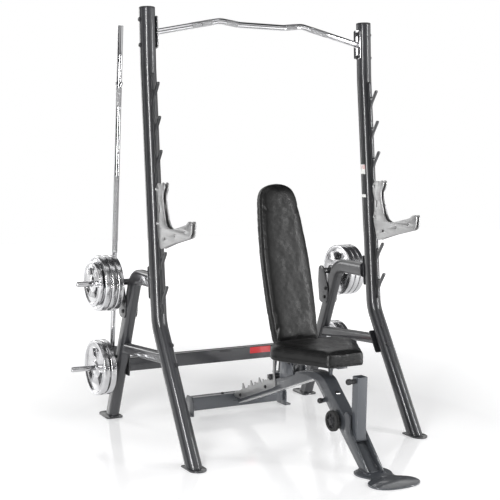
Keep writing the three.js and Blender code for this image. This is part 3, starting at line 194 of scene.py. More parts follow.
# ================================================================ materials
class Look:
    """A Principled material whose nodes are added one by one."""

    def __init__(self, name):
        self.material = bpy.data.materials.new(name)
        self.material.use_nodes = True
        self.nodes = self.material.node_tree.nodes
        self.links = self.material.node_tree.links
        self.shader = self.nodes["Principled BSDF"]
        self.coords = self.nodes.new("ShaderNodeTexCoord").outputs["Object"]

    def set(self, **values):
        for key, value in values.items():
            self.shader.inputs[key.replace("_", " ")].default_value = value
        return self

    def stretched(self, scale, rotation=(0, 0, 0)):
        mapping = self.nodes.new("ShaderNodeMapping")
        mapping.inputs["Scale"].default_value = scale
        mapping.inputs["Rotation"].default_value = rotation
        self.links.new(self.coords, mapping.inputs["Vector"])
        return mapping.outputs[0]

    def noise(self, scale, detail=3, vector=None):
        node = self.nodes.new("ShaderNodeTexNoise")
        node.inputs["Scale"].default_value = scale
        node.inputs["Detail"].default_value = detail
        self.links.new(vector or self.coords, node.inputs["Vector"])
        return node.outputs["Fac"]

    def cells(self, scale, feature="DISTANCE_TO_EDGE"):
        node = self.nodes.new("ShaderNodeTexVoronoi")
        node.feature = feature
        node.inputs["Scale"].default_value = scale
        self.links.new(self.coords, node.inputs["Vector"])
        return node.outputs["Distance"]

    def waves(self, scale, rotation):
        node = self.nodes.new("ShaderNodeTexWave")
        node.inputs["Scale"].default_value = scale
        self.links.new(self.stretched((1, 1, 1), rotation), node.inputs["Vector"])
        return node.outputs["Fac"]

    def ramp(self, value, stops):
        node = self.nodes.new("ShaderNodeValToRGB")
        elements = node.color_ramp.elements
        while len(elements) < len(stops):
            elements.new(0.5)
        for element, (position, color) in zip(elements, stops):
            element.position = position
            element.color = (*color, 1) if len(color) == 3 else color
        self.links.new(value, node.inputs[0])
        return node.outputs[0]

    def mottled(self, value, color, dark, light):
        """A color that drifts between a darker and a lighter shade."""
        return self.ramp(value, [(0.3, shade(color, dark)), (0.7, shade(color, light))])

    def span(self, value, low, high, low_in=0.3, high_in=0.7):
        node = self.nodes.new("ShaderNodeMapRange")
        node.inputs["From Min"].default_value = low_in
        node.inputs["From Max"].default_value = high_in
        node.inputs["To Min"].default_value = low
        node.inputs["To Max"].default_value = high
        self.links.new(value, node.inputs["Value"])
        return node.outputs["Result"]

    def mix(self, factor, a, b, blend="MIX"):
        node = self.nodes.new("ShaderNodeMix")
        node.data_type = "RGBA"
        node.blend_type = blend
        for socket, value in ((node.inputs[0], factor), (node.inputs[6], a), (node.inputs[7], b)):
            if isinstance(value, bpy.types.NodeSocket):
                self.links.new(value, socket)
            elif isinstance(value, tuple):
                socket.default_value = (*value, 1)
            else:
                socket.default_value = value
        return node.outputs[2]

    def edges(self, low=0.505, high=0.54):
        geometry = self.nodes.new("ShaderNodeNewGeometry")
        return self.span(geometry.outputs["Pointiness"], 0, 1, low, high)

    def color(self, socket):
        self.links.new(socket, self.shader.inputs["Base Color"])
        return self

    def roughness(self, socket):
        self.links.new(socket, self.shader.inputs["Roughness"])
        return self

    def bump(self, *layers):
        previous = None
        for height, distance, strength in layers:
            node = self.nodes.new("ShaderNodeBump")
            node.inputs["Distance"].default_value = distance
            node.inputs["Strength"].default_value = strength
            self.links.new(height, node.inputs["Height"])
            if previous:
                self.links.new(previous, node.inputs["Normal"])
            previous = node.outputs[0]
        self.links.new(previous, self.shader.inputs["Normal"])
        return self


def shade(color, factor):
    return tuple(min(1.0, c * factor) for c in color)


def powder_coat(name, color, roughness=0.34):
    look = Look(name)
    look.set(Metallic=0.15, Coat_Weight=0.75, Coat_Roughness=0.08, Specular_IOR_Level=0.5)
    tone = look.mottled(look.noise(3.2, 5), color, 0.88, 1.12)
    flake = look.ramp(look.noise(1500, 1), [(0.45, (0, 0, 0)), (0.72, (1, 1, 1))])
    flecked = look.mix(0.015, tone, flake, "ADD")
    worn = look.mix(look.span(look.edges(), 0, 0.35, 0, 1), flecked, shade(color, 2.6))
    look.color(worn)
    look.roughness(look.span(look.noise(45, 4), roughness - 0.06, roughness + 0.08))
    look.bump((look.noise(520, 2), 0.0004, 0.10), (look.noise(70, 2), 0.0010, 0.06))
    return look.material


def chrome(name, color):
    look = Look(name)
    look.set(Metallic=1.0)
    look.color(look.mottled(look.noise(9, 4), color, 0.93, 1.05))
    smears = look.noise(26, 5, look.stretched((1, 1, 0.25)))
    look.roughness(look.span(smears, 0.06, 0.17))
    look.bump((look.noise(900, 2), 0.0002, 0.05), (look.noise(60, 2), 0.0006, 0.05))
    return look.material


def knurled_chrome(name, color):
    look = Look(name)
    look.set(Metallic=1.0)
    first = look.waves(210, (0.0, math.radians(55), math.radians(30)))
    second = look.waves(210, (0.0, math.radians(-55), math.radians(30)))
    cross = look.mix(0.5, first, second, "MULTIPLY")
    # Painted shade: the knurl's grooves are darkened in the colour, on top of their bump.
    look.color(look.ramp(cross, [(0.05, shade(color, 0.45)), (0.6, color)]))
    look.roughness(look.span(look.noise(40, 3), 0.26, 0.40))
    look.bump((cross, 0.0008, 0.9))
    return look.material


def plated_iron(name, color):
    look = Look(name)
    look.set(Metallic=1.0)
    patches = look.noise(18, 5)
    tone = look.mottled(patches, color, 0.88, 1.06)
    rubbed = look.mix(look.span(look.edges(), 0, 0.5, 0, 1), tone, shade(color, 1.35))
    look.color(rubbed)
    look.roughness(look.span(look.noise(70, 5), 0.13, 0.27))
    look.bump((look.noise(240, 3), 0.0006, 0.16), (look.noise(1100, 2), 0.0002, 0.10))
    return look.material


def zinc_plate(name, color):
    look = Look(name)
    look.set(Metallic=0.9)
    streaks = look.noise(60, 4, look.stretched((1, 0.12, 1)))
    look.color(look.mottled(streaks, color, 0.86, 1.08))
    look.roughness(look.span(look.noise(120, 4), 0.30, 0.44))
    look.bump((streaks, 0.0003, 0.12), (look.noise(800, 2), 0.0002, 0.10))
    return look.material


def moulded_plastic(name, color):
    look = Look(name)
    look.set(Specular_IOR_Level=0.5)
    tone = look.mottled(look.noise(24, 4), color, 0.8, 1.3)
    scuffed = look.mix(look.span(look.edges(), 0, 0.4, 0, 1), tone, shade(color, 4))
    look.color(scuffed)
    look.roughness(look.span(look.noise(80, 3), 0.38, 0.55))
    look.bump((look.cells(900, "F1"), 0.0003, 0.25))
    return look.material


def tyre_rubber(name, color):
    look = Look(name)
    dust = look.noise(35, 5)
    look.color(look.ramp(dust, [(0.35, color), (0.75, shade(color, 2.4))]))
    look.roughness(look.span(dust, 0.62, 0.85))
    look.bump((look.noise(700, 3), 0.0004, 0.3))
    return look.material


def grained_leather(name, color):
    look = Look(name)
    look.set(Specular_IOR_Level=0.30, Coat_Weight=0.20, Coat_Roughness=0.22)
    tone = look.mottled(look.noise(7, 5), color, 0.85, 1.2)
    grain = look.cells(620)
    # Painted shade: the grain's creases are darkened in the colour, where the bump sinks them.
    shaded_creases = look.mix(look.span(grain, 0.35, 0, 0.0, 0.12), tone, shade(color, 0.4))
    look.color(shaded_creases)
    look.roughness(look.span(look.noise(30, 5), 0.36, 0.50))
    look.bump((grain, 0.0005, 0.35), (look.noise(1600, 2), 0.0002, 0.15), (look.noise(38, 4), 0.0012, 0.07))
    return look.material


def stitch_thread(name, color):
    look = Look(name)
    look.color(look.mottled(look.noise(900, 2), color, 0.7, 1.3))
    look.roughness(look.span(look.noise(400, 2), 0.6, 0.8))
    look.bump((look.waves(900, (0, math.radians(45), 0)), 0.0003, 0.5))
    return look.material


def printed_vinyl(name, color):
    look = Look(name)
    look.set(Coat_Weight=0.3, Coat_Roughness=0.2)
    look.color(look.mottled(look.noise(30, 4), color, 0.92, 1.04))
    look.roughness(look.span(look.noise(90, 3), 0.28, 0.40))
    look.bump((look.noise(300, 2), 0.0002, 0.10))
    return look.material


def floor_material():
    look = Look("studio_floor")
    look.color(look.ramp(look.noise(0.8, 3), [(0.3, (0.86, 0.86, 0.865)), (0.7, (0.89, 0.89, 0.895))]))
    look.roughness(look.span(look.noise(3, 3), 0.10, 0.14))
    look.set(Specular_IOR_Level=0.5, Emission_Color=(1, 1, 1, 1))
    look.bump((look.noise(2.0, 2), 0.0005, 0.05))
    reach = look.nodes.new("ShaderNodeVectorMath")
    reach.operation = "LENGTH"
    look.links.new(look.coords, reach.inputs[0])
    glow = look.span(reach.outputs["Value"], 0.34, 1.0, 1.2, 3.6)
    look.links.new(glow, look.shader.inputs["Emission Strength"])
    return look.material


CHARCOAL = (0.020, 0.0205, 0.023)
BLUE_GREY = (0.046, 0.050, 0.057)
BLACK = (0.010, 0.010, 0.011)


def make_materials():
    return {
        "rack_frame": powder_coat("rack_powder_coat", CHARCOAL),
        "bench_frame": powder_coat("bench_powder_coat", BLUE_GREY, 0.38),
        "chrome": chrome("bright_chrome", (0.55, 0.55, 0.56)),
        "knurl": knurled_chrome("knurled_chrome", (0.62, 0.62, 0.63)),
        "plate_chrome": plated_iron("plated_iron", (0.58, 0.58, 0.59)),
        "zinc": zinc_plate("zinc_plate", (0.44, 0.44, 0.44)),
        "black_plastic": moulded_plastic("black_plastic", BLACK),
        "wheel_rubber": tyre_rubber("wheel_rubber", (0.012, 0.012, 0.012)),
        "leather": grained_leather("black_leather", (0.004, 0.004, 0.004)),
        "thread": stitch_thread("black_thread", (0.02, 0.02, 0.02)),
        "red_label": printed_vinyl("red_label", (0.55, 0.018, 0.025)),
        "white_label": printed_vinyl("white_label", (0.80, 0.80, 0.78)),
    }


# ================================================================ mesh helpers
def add_piece(name, shape, body, slot, smooth=35, look=None, replaces=()):
    """Makes a piece of a bmesh. Edges sharper than the smooth angle stay crisp."""
    bmesh.ops.recalc_face_normals(shape, faces=shape.faces)
    limit = math.radians(smooth)
    for face in shape.faces:
        face.smooth = True
    for edge in shape.edges:
        edge.smooth = edge.is_manifold and edge.calc_face_angle(0) < limit
    mesh = bpy.data.meshes.new(name)
    shape.to_mesh(mesh)
    shape.free()
    mesh.materials.append(LOOKS[look or slot])
    piece = bpy.data.objects.new(name, mesh)
    bpy.context.scene.collection.objects.link(piece)
    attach(piece, body)
    if replaces:
        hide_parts(*replaces)
    return piece


def soften(shape, width):
    """Rounds every hard edge."""
    limit = math.radians(30)
    sharp = [edge for edge in shape.edges if edge.is_manifold and edge.calc_face_angle(0) > limit]
    bmesh.ops.bevel(
        shape, geom=sharp, offset=width, segments=2, profile=0.5, affect="EDGES", clamp_overlap=True
    )


def node_body(node):
    for body, nodes in frame["record"]["behaviour"]["bodies"].items():
        if node in nodes:
            return body
    raise ValueError(node)


def node_slot(node):
    return next(row["material_slot"] for row in frame["record"]["subparts"] if row["node"] == node)


def eased_copy(node):
    """A copy of a CAD node with flat faces merged and every hard edge rounded."""
    shape = bmesh.new()
    shape.from_mesh(frame["nodes"][node].data)
    bmesh.ops.remove_doubles(shape, verts=shape.verts, dist=1e-5)
    bmesh.ops.dissolve_limit(shape, angle_limit=math.radians(1), verts=shape.verts, edges=shape.edges)
    soften(shape, 0.0008)
    add_piece(f"{node}_shell", shape, node_body(node), node_slot(node), 32, replaces=[node])


def at(x, point):
    return Vector((x, point[0], point[1]))


def leaning(origin, along, square):
    """Turns a distance along a line and a distance square to it into a (y, z) point."""
    return lambda a, q: (
        origin[0] + a * along[0] + q * square[0],
        origin[1] + a * along[1] + q * square[1],
    )


def fillet_path(points, radii, steps=10):
    path = [points[0]]
    for before, corner, after, radius in zip(points, points[1:], points[2:], radii):
        back = (before - corner).normalized()
        ahead = (after - corner).normalized()
        opening = back.angle(ahead)
        setback = radius / math.tan(opening / 2)
        centre = corner + (back + ahead).normalized() * (radius / math.sin(opening / 2))
        start = corner + back * setback - centre
        end = corner + ahead * setback - centre
        axis, turn = start.cross(end).normalized(), start.angle(end)
        path += [centre + Quaternion(axis, turn * k / steps) @ start for k in range(steps + 1)]
    path.append(points[-1])
    return path


def rounded(outline, radius, steps=4):
    """Rounds each corner of a closed outline, by less where its edges are short."""
    points = [Vector(point) for point in outline]
    result = []
    for i, corner in enumerate(points):
        back = points[i - 1] - corner
        ahead = points[(i + 1) % len(points)] - corner
        opening = back.angle(ahead)
        if opening > math.radians(174):
            result.append(tuple(corner))
            continue
        room = 0.45 * min(back.length, ahead.length)
        setback = min(room, radius / math.tan(opening / 2))
        back.normalize()
        ahead.normalize()
        reach = setback * math.tan(opening / 2)
        centre = corner + (back + ahead).normalized() * (reach / math.sin(opening / 2))
        start, end = corner + back * setback - centre, corner + ahead * setback - centre
        turn = start.angle_signed(end)
        for k in range(steps + 1):
            spun = start.copy()
            spun.rotate(Matrix.Rotation(-turn * k / steps, 2))
            result.append(tuple(centre + spun))
    return result


def circle(centre, radius, count=24):
    turns = [2 * math.pi * k / count for k in range(count)]
    return [(centre[0] + radius * math.cos(t), centre[1] + radius * math.sin(t)) for t in turns]


def arc(centre, radius, start, end, steps=12):
    turns = [math.radians(start + (end - start) * k / steps) for k in range(steps + 1)]
    return [(centre[0] + radius * math.cos(t), centre[1] + radius * math.sin(t)) for t in turns]


def bezier(p0, p1, p2, p3, steps=12):
    """Points of a cubic curve, without its first point."""
    points = []
    for k in range(1, steps + 1):
        t = k / steps
        weights = ((1 - t) ** 3, 3 * t * (1 - t) ** 2, 3 * t * t * (1 - t), t ** 3)
        points.append(tuple(sum(w * p[i] for w, p in zip(weights, (p0, p1, p2, p3))) for i in (0, 1)))
    return points


def soft_rectangle(deep, wide, corner, steps=6):
    """A rounded rectangle about the origin."""
    section = []
    for a, b, start in ((1, 1, 0), (-1, 1, 90), (-1, -1, 180), (1, -1, 270)):
        centre = (a * (deep / 2 - corner), b * (wide / 2 - corner))
        section += arc(centre, corner, start, start + 90, steps)
    return section


def loft(shape, rings):
    """Skins a row of equal rings and closes both ends."""
    count = len(rings[0])
    for low, high in zip(rings, rings[1:]):
        for k in range(count):
            n = (k + 1) % count
            shape.faces.new((low[k], low[n], high[n], high[k]))
    shape.faces.new(rings[0])
    shape.faces.new(rings[-1])


def sweep(shape, path, normal, section, start_cut=None, end_cut=None):
    """Adds a section carried along a path in one plane. A cut is a point and a direction."""
    rings = []
    for i, point in enumerate(path):
        tangent = (path[min(i + 1, len(path) - 1)] - path[max(i - 1, 0)]).normalized()
        across = normal.cross(tangent)
        cut = start_cut if i == 0 else end_cut if i == len(path) - 1 else None
        ring = []
        for a, b in section:
            corner = point + across * a + normal * b
            if cut:
                corner += tangent * ((cut[0] - corner).dot(cut[1]) / tangent.dot(cut[1]))
            ring.append(shape.verts.new(corner))
        rings.append(ring)
    loft(shape, rings)
    return rings


def lathe(shape, profile, start, direction, segments=48):
    """Adds a turned body. Profile rows are (distance along, radius)."""
    turn = Vector((0, 0, 1)).rotation_difference(Vector(direction).normalized())
    rings = []
    for along, radius in profile:
        if radius < 1e-6:
            rings.append([shape.verts.new(Vector(start) + turn @ Vector((0, 0, along)))])
            continue
        ring = circle((0, 0), radius, segments)
        rings.append([shape.verts.new(Vector(start) + turn @ Vector((a, b, along))) for a, b in ring])
    for low, high in zip(rings, rings[1:]):
        for k in range(segments):
            n = (k + 1) % segments
            corners = [low[k % len(low)], low[n % len(low)], high[n % len(high)], high[k % len(high)]]
            shape.faces.new(list(dict.fromkeys(corners)))


def side_frame(x):
    """Lays a drawing's (y, z) in the plane X = x, with its thickness along X."""
    return Matrix(((0, 0, 1, x), (1, 0, 0, 0), (0, 1, 0, 0), (0, 0, 0, 1)))


def tilted_frame(x, along, square, centre):
    """Lays a drawing's (x, along) about a (y, z) centre, with its thickness in the square direction."""
    return Matrix((
        (1, 0, 0, x),
        (0, along[0], square[0], centre[0]),
        (0, along[1], square[1], centre[1]),
        (0, 0, 0, 1),
    ))


def floor_frame(z):
    return Matrix.Translation((0, 0, z))


def cut_sheet(name, outlines, place, thickness, ease=0.0009):
    """A bmesh of a plate cut to closed outlines, the first its edge and the rest holes, edges eased."""
    curve = bpy.data.curves.new(name, "CURVE")
    curve.dimensions = "2D"
    curve.fill_mode = "BOTH"
    curve.extrude = thickness / 2 - ease
    curve.bevel_depth = ease
    curve.bevel_resolution = 2
    curve.offset = -ease
    for i, outline in enumerate(outlines):
        area = sum(a[0] * b[1] - b[0] * a[1] for a, b in zip(outline, outline[1:] + outline[:1]))
        ordered = outline if (area > 0) == (i == 0) else outline[::-1]
        spline = curve.splines.new("POLY")
        spline.points.add(len(ordered) - 1)
        for point, (a, b) in zip(spline.points, ordered):
            point.co = (a, b, 0, 1)
        spline.use_cyclic_u = True
    drawn = bpy.data.objects.new(name, curve)
    mesh = bpy.data.meshes.new_from_object(drawn)
    shape = bmesh.new()
    shape.from_mesh(mesh)
    bmesh.ops.remove_doubles(shape, verts=shape.verts, dist=2e-6)
    shape.transform(place)
    bpy.data.meshes.remove(mesh)
    bpy.data.objects.remove(drawn)
    bpy.data.curves.remove(curve)
    return shape


def turned_piece(name, profile, start, direction, segments, body, slot, smooth=40, replaces=()):
    shape = bmesh.new()
    lathe(shape, profile, start, direction, segments)
    add_piece(name, shape, body, slot, smooth, replaces=replaces)


def sheet_piece(name, outlines, place, thickness, ease, body, slot, look=None, replaces=()):
    add_piece(name, cut_sheet(name, outlines, place, thickness, ease), body, slot, 40, look, replaces)


def side_plate(name, outlines, x_from, x_to, body, slot, ease=0.0009, replaces=()):
    place = side_frame((x_from + x_to) / 2)
    sheet_piece(name, outlines, place, abs(x_to - x_from), ease, body, slot, replaces=replaces)


def weld_bead(shape, loop, radius, ripples=0.16):
    """Adds a rippled bead along a closed loop of points."""
    count = len(loop)
    rings = []
    for i, point in enumerate(loop):
        tangent = (loop[(i + 1) % count] - loop[i - 1]).normalized()
        side = tangent.orthogonal().normalized()
        lift = tangent.cross(side)
        size = radius * (1 + ripples * (1 if i % 2 else -1))
        rings.append([
            shape.verts.new(point + (side * math.cos(t) + lift * math.sin(t)) * size)
            for t in (2 * math.pi * k / 8 for k in range(8))
        ])
    for i, ring in enumerate(rings):
        ahead = rings[(i + 1) % count]
        nearest = min(range(8), key=lambda k: (ahead[k].co - ring[0].co).length)
        for k in range(8):
            a, b = ring[k], ring[(k + 1) % 8]
            shape.faces.new((a, b, ahead[(nearest + k + 1) % 8], ahead[(nearest + k) % 8]))


def resampled(loop, spacing=0.004):
    """The same closed loop with points at an even spacing."""
    points = []
    for a, b in zip(loop, loop[1:] + loop[:1]):
        count = max(1, round((b - a).length / spacing))
        points += [a.lerp(b, k / count) for k in range(count)]
    return points


def ring_loops(rings):
    """The points of each ring, kept for a weld."""
    return [[vert.co.copy() for vert in ring] for ring in rings]


def add_welds(name, loops, body, slot, radius=0.0028):
    """One piece with a bead along each closed loop."""
    beads = bmesh.new()
    for loop in loops:
        weld_bead(beads, resampled(loop), radius)
    add_piece(name, beads, body, slot, 60)


def welded_tube(name, node, path, normal, section, cuts, body, slot, ends=(0, -1), radius=0.0028):
    """A swept tube with a bead round the named ends."""
    shape = bmesh.new()
    rings = sweep(shape, path, normal, section, *cuts)
    loops = ring_loops([rings[end] for end in ends])
    add_piece(name.format("tube"), shape, body, slot, 50, replaces=[node])
    add_welds(name.format("weld"), loops, body, slot, radius)


def rod_profile(length, radius):
    return [(0, 0), (0, radius), (length, radius), (length, 0)]


# ================================================================ rack
ACROSS = Vector((1, 0, 0))
DEPTH = Vector((0, 1, 0))
UPWARDS = Vector((0, 0, 1))
LEAN = math.atan2(UPRIGHT_POINTS[2][0] - UPRIGHT_POINTS[1][0], UPRIGHT_POINTS[2][1] - UPRIGHT_POINTS[1][1])
RAIL_UP = (math.sin(LEAN), math.cos(LEAN))
RAIL_FORWARD = (-math.cos(LEAN), math.sin(LEAN))
on_rail = leaning(UPRIGHT_POINTS[1], RAIL_UP, RAIL_FORWARD)
SLANT = (Vector(UPRIGHT_POINTS[1]) - Vector(UPRIGHT_POINTS[0])).normalized()
SLANT_BEHIND = (SLANT.y, -SLANT.x)
on_slant = leaning(UPRIGHT_POINTS[0], SLANT, SLANT_BEHIND)
TOP_WAY = (Vector(UPRIGHT_POINTS[3]) - Vector(UPRIGHT_POINTS[2])).normalized()
LEG_DROP = (Vector(LEG_POINTS[2]) - Vector(LEG_POINTS[1])).normalized()
LEG_FRONT = (LEG_DROP.y, -LEG_DROP.x)
on_leg = leaning(LEG_POINTS[2], -LEG_DROP, LEG_FRONT)


def near_top(x, along):
    return at(x, Vector(UPRIGHT_POINTS[3]) + TOP_WAY * along)


def plane_yz(x, point, direction):
    return at(x, point), at(0, direction)


def floor_plate(name, outlines):
    sheet_piece(name, outlines, floor_frame(FOOT_THICKNESS / 2), FOOT_THICKNESS, 0.0012, "rack", "rack_frame")


def make_upright(side, sign):
    x = sign * UPRIGHT_X
    corners = [at(x, point) for point in UPRIGHT_POINTS[:3]] + [near_top(x, -CAP_TALL)]
    path = fillet_path(corners, UPRIGHT_RADII, 14)
    floor_cut = (Vector((x, 0, FOOT_THICKNESS)), UPWARDS)
    section = circle((0, 0), UPRIGHT_RADIUS, 48)
    welded_tube(f"upright_{{}}_{side}", f"upright_{side}", path, ACROSS, section, [floor_cut],
                "rack", "rack_frame", (0,))
    outline = [(x - 0.042, -0.175), (x - 0.042, -0.257)]
    outline += arc((x, -0.257), 0.042, 180, 360, 18)[1:] + [(x + 0.042, -0.175)]
    hole = circle((x, -0.280), 0.006, 20)
    floor_plate(f"front_foot_{side}", [outline, hole])


def make_cap(side, sign):
    ease = 0.0025
    rim = UPRIGHT_RADIUS - ease
    edge = [(ease - ease * math.sin(t), rim + ease * math.cos(t)) for t in (0, 0.4, 0.8, 1.2, 1.57)]
    profile = [(0, 0), (0.0008, UPRIGHT_RADIUS * 0.5), *reversed(edge)]
    profile += [(CAP_TALL - GAP, UPRIGHT_RADIUS), (CAP_TALL - GAP, UPRIGHT_RADIUS - 0.004)]
    profile += [(0.022, 0.0340), (0.022, 0)]
    turned_piece(f"upright_end_cap_{side}", profile, near_top(sign * UPRIGHT_X, 0), at(0, -TOP_WAY), 48,
                 "rack", "black_plastic", replaces=[f"upright_cap_{side}"])


def rail_outline():
    """One finger and one saddle at every pitch. Rows are (square to the rail, along it) in metres."""
    back, front, reach, pitch = 0.0384, 0.052, 0.110, 0.159
    points = [(back, 0.046), (front - 0.006, 0.046), (front, 0.054)]
    for i in range(7):
        tip = 0.180 + i * pitch
        points += [
            (front, tip - 0.084),
            (front + 0.009, tip - 0.072),
            (front + 0.015, tip - 0.060),
            (reach - 0.002, tip - 0.012),
            (reach, tip - 0.005),
            (reach - 0.006, tip),
            (reach - 0.013, tip - 0.003),
            (front + 0.022, tip - 0.031),
            (front + 0.016, tip - 0.037),
            (front + 0.006, tip - 0.037),
            (front, tip - 0.030),
        ]
    points += [(front, 1.178), (back, 1.190)]
    return [on_rail(along, square) for square, along in points]


def make_rail(side, sign):
    x = sign * UPRIGHT_X
    outline = rounded(rail_outline(), 0.006)
    side_plate(f"rail_{side}", [outline], x - RAIL_HALF, x + RAIL_HALF, "rack", "rack_frame", 0.0012,
               replaces=[f"catch_rail_{side}"])
    seams = bmesh.new()
    for offset in (-RAIL_HALF - 0.0006, RAIL_HALF + 0.0006):
        for low in range(70, 1180, 160):
            marks = [on_rail((low + k * 4) * MM, UPRIGHT_RADIUS + 0.0006) for k in range(9)]
            there = [at(x + offset, mark) for mark in marks]
            back = [point + Vector((math.copysign(0.0016, offset), 0, 0)) for point in reversed(there)]
            weld_bead(seams, there + back, 0.0016)
    add_piece(f"rail_weld_{side}", seams, "rack", "rack_frame", 60)


def make_rear_leg(side, sign):
    x = sign * LEG_X
    path = fillet_path([at(x, point) for point in LEG_POINTS], [LEG_RADIUS], 16)
    saddle_face = UPRIGHT_RADIUS + GAP + FLANGE
    front_cut = plane_yz(x, on_rail(LEG_JOINT_ALONG, -saddle_face), RAIL_FORWARD)
    floor_cut = (Vector((x, 0, FOOT_THICKNESS)), UPWARDS)
    section = soft_rectangle(LEG_DEPTH, LEG_WIDTH, LEG_CORNER)
    welded_tube(f"rear_leg_{{}}_{side}", f"rear_leg_{side}", path, ACROSS, section, [front_cut, floor_cut],
                "rack", "rack_frame")
    centre = on_rail(SADDLE_ALONG, -(UPRIGHT_RADIUS + GAP + FLANGE / 2))
    outline = soft_rectangle(SADDLE_WIDE, SADDLE_TALL, 0.008, 4)
    place = tilted_frame(sign * UPRIGHT_X, RAIL_UP, RAIL_FORWARD, centre)
    sheet_piece(f"saddle_plate_{side}", [outline], place, FLANGE, 0.001, "rack", "rack_frame")
    make_rear_foot(side, x)


def make_rear_foot(side, x):
    outline = arc((x - 0.026, 0.745), 0.020, 180, 270, 8) + arc((x + 0.026, 0.745), 0.020, 270, 360, 8)
    outline += arc((x + 0.008, 0.837), 0.038, 0, 90, 10) + arc((x - 0.008, 0.837), 0.038, 90, 180, 10)
    hole = circle((x, 0.856), 0.006, 20)
    floor_plate(f"rear_foot_{side}", [outline, hole])


def make_brace(side, sign):
    x = sign * LEG_X
    touch = UPRIGHT_RADIUS + GAP
    front_cut = plane_yz(x, on_slant(BRACE_ALONG, touch + FLANGE), SLANT_BEHIND)
    back_cut = plane_yz(x, on_leg(0, LEG_DEPTH / 2 + GAP), LEG_FRONT)
    path = [at(x, point) for point in BRACE_POINTS]
    section = soft_rectangle(BRACE_SIZE, BRACE_SIZE, 0.012)
    welded_tube(f"brace_{{}}_{side}", f"lower_brace_{side}", path, ACROSS, section, [front_cut, back_cut],
                "rack", "rack_frame", radius=0.0024)
    centre = on_slant(BRACE_ALONG, touch + FLANGE / 2)
    place = tilted_frame(x, SLANT, SLANT_BEHIND, centre)
    outline = soft_rectangle(0.060, 0.124, 0.008, 4)
    sheet_piece(f"brace_flange_{side}", [outline], place, FLANGE, 0.001, "rack", "rack_frame")


def make_crossbar():
    inner = LEG_X - LEG_WIDTH / 2 - GAP
    path = [Vector((sign * (inner - FLANGE), CROSSBAR_Y, CROSSBAR_Z)) for sign in (-1, 1)]
    section = soft_rectangle(CROSSBAR_TALL, CROSSBAR_DEEP, 0.007)
    welded_tube("crossbar_{}", "crossbar", path, DEPTH, section, (), "rack", "rack_frame", radius=0.0024)
    outline = soft_rectangle(CROSSBAR_DEEP + 0.024, CROSSBAR_TALL + 0.044, 0.008, 4)
    outline = [(a + CROSSBAR_Y, b + CROSSBAR_Z) for a, b in outline]
    for side, sign in SIDES:
        side_plate(f"crossbar_flange_{side}", [outline], sign * (inner - FLANGE), sign * inner,
                   "rack", "rack_frame", 0.001)


def make_pullup_bar():
    half = [Vector((x, PULLUP_Y, z)) for x, z in PULLUP_POINTS]
    corners = [Vector((-p.x, p.y, p.z)) for p in half] + half[::-1]
    path = fillet_path(corners, [0.120, 0.160, 0.160, 0.120], 10)
    shape = bmesh.new()
    sweep(shape, path, DEPTH, circle((0, 0), PULLUP_RADIUS, 32))
    add_piece("pullup_tube", shape, "rack", "chrome", 50, replaces=["pullup_bar"])
    grips = bmesh.new()
    seams = bmesh.new()
    knurl = circle((0, 0), PULLUP_RADIUS + KNURL_RISE, 32)
    for _, sign in SIDES:
        outer, peak, dip = [Vector((-sign * p.x, p.y, p.z)) for p in half]
        sweep(grips, [peak.lerp(dip, 0.30), peak.lerp(dip, 0.92)], DEPTH, knurl)
        sweep(grips, [outer.lerp(peak, 0.55), outer.lerp(peak, 0.86)], DEPTH, knurl)
        way = (peak - outer).normalized()
        turns = [2 * math.pi * k / 28 for k in range(28)]
        spokes = [DEPTH * math.cos(t) + way.cross(DEPTH) * math.sin(t) for t in turns]
        ring = [outer + way * 0.002 + spoke * (PULLUP_RADIUS + 0.001) for spoke in spokes]
        weld_bead(seams, ring, 0.0022)
    add_piece("pullup_grips", grips, "rack", "chrome", 50, "knurl")
    add_piece("pullup_weld", seams, "rack", "chrome", 60)
    middle, tall = PULLUP_POINTS[0][1], 0.150
    tilt = (UPRIGHT_POINTS[3][0] - UPRIGHT_POINTS[2][0]) / (UPRIGHT_POINTS[3][1] - UPRIGHT_POINTS[2][1])
    low, high = middle - tall / 2, middle + tall / 2

    def centre_y(z):
        return UPRIGHT_POINTS[3][0] + (z - UPRIGHT_POINTS[3][1]) * tilt

    outline = [
        (centre_y(low) - 0.028, low), (centre_y(low) + 0.028, low),
        (centre_y(high) + 0.028, high), (centre_y(high) - 0.028, high),
    ]
    outer_face = UPRIGHT_X - UPRIGHT_RADIUS - GAP
    for side, sign in SIDES:
        side_plate(f"pullup_flange_{side}", [rounded(outline, 0.010, 6)], sign * (outer_face - FLANGE),
                   sign * outer_face, "rack", "chrome", 0.0012)


def bracket_outline():
    y, z = UPPER_PEG
    points = [
        (-26, 14), (-16, 27), (0, 32), (17, 27), (28, 12), (30, -60),
        (14, -165), (-6, -176), (-54, -176), (-62, -160), (-70, -100), (-58, -60),
    ]
    return [(y + a * MM, z + b * MM) for a, b in points]


def make_peg_bracket(side, sign):
    inner = LEG_X - LEG_WIDTH / 2 - GAP
    outer = LEG_X + LEG_WIDTH / 2 + GAP
    outline = rounded(bracket_outline(), 0.020, 6)
    side_plate(f"peg_bracket_inner_{side}", [outline], sign * (inner - FLANGE), sign * inner, "rack",
               "rack_frame", 0.001, replaces=[f"peg_bracket_{side}"])
    side_plate(f"peg_bracket_outer_{side}", [outline], sign * outer, sign * (outer + FLANGE), "rack",
               "rack_frame", 0.001)
    turned_piece(f"peg_sleeve_{side}", rod_profile(outer - inner, 0.016), at(sign * inner, UPPER_PEG),
                 (sign, 0, 0), 32, "rack", "rack_frame")


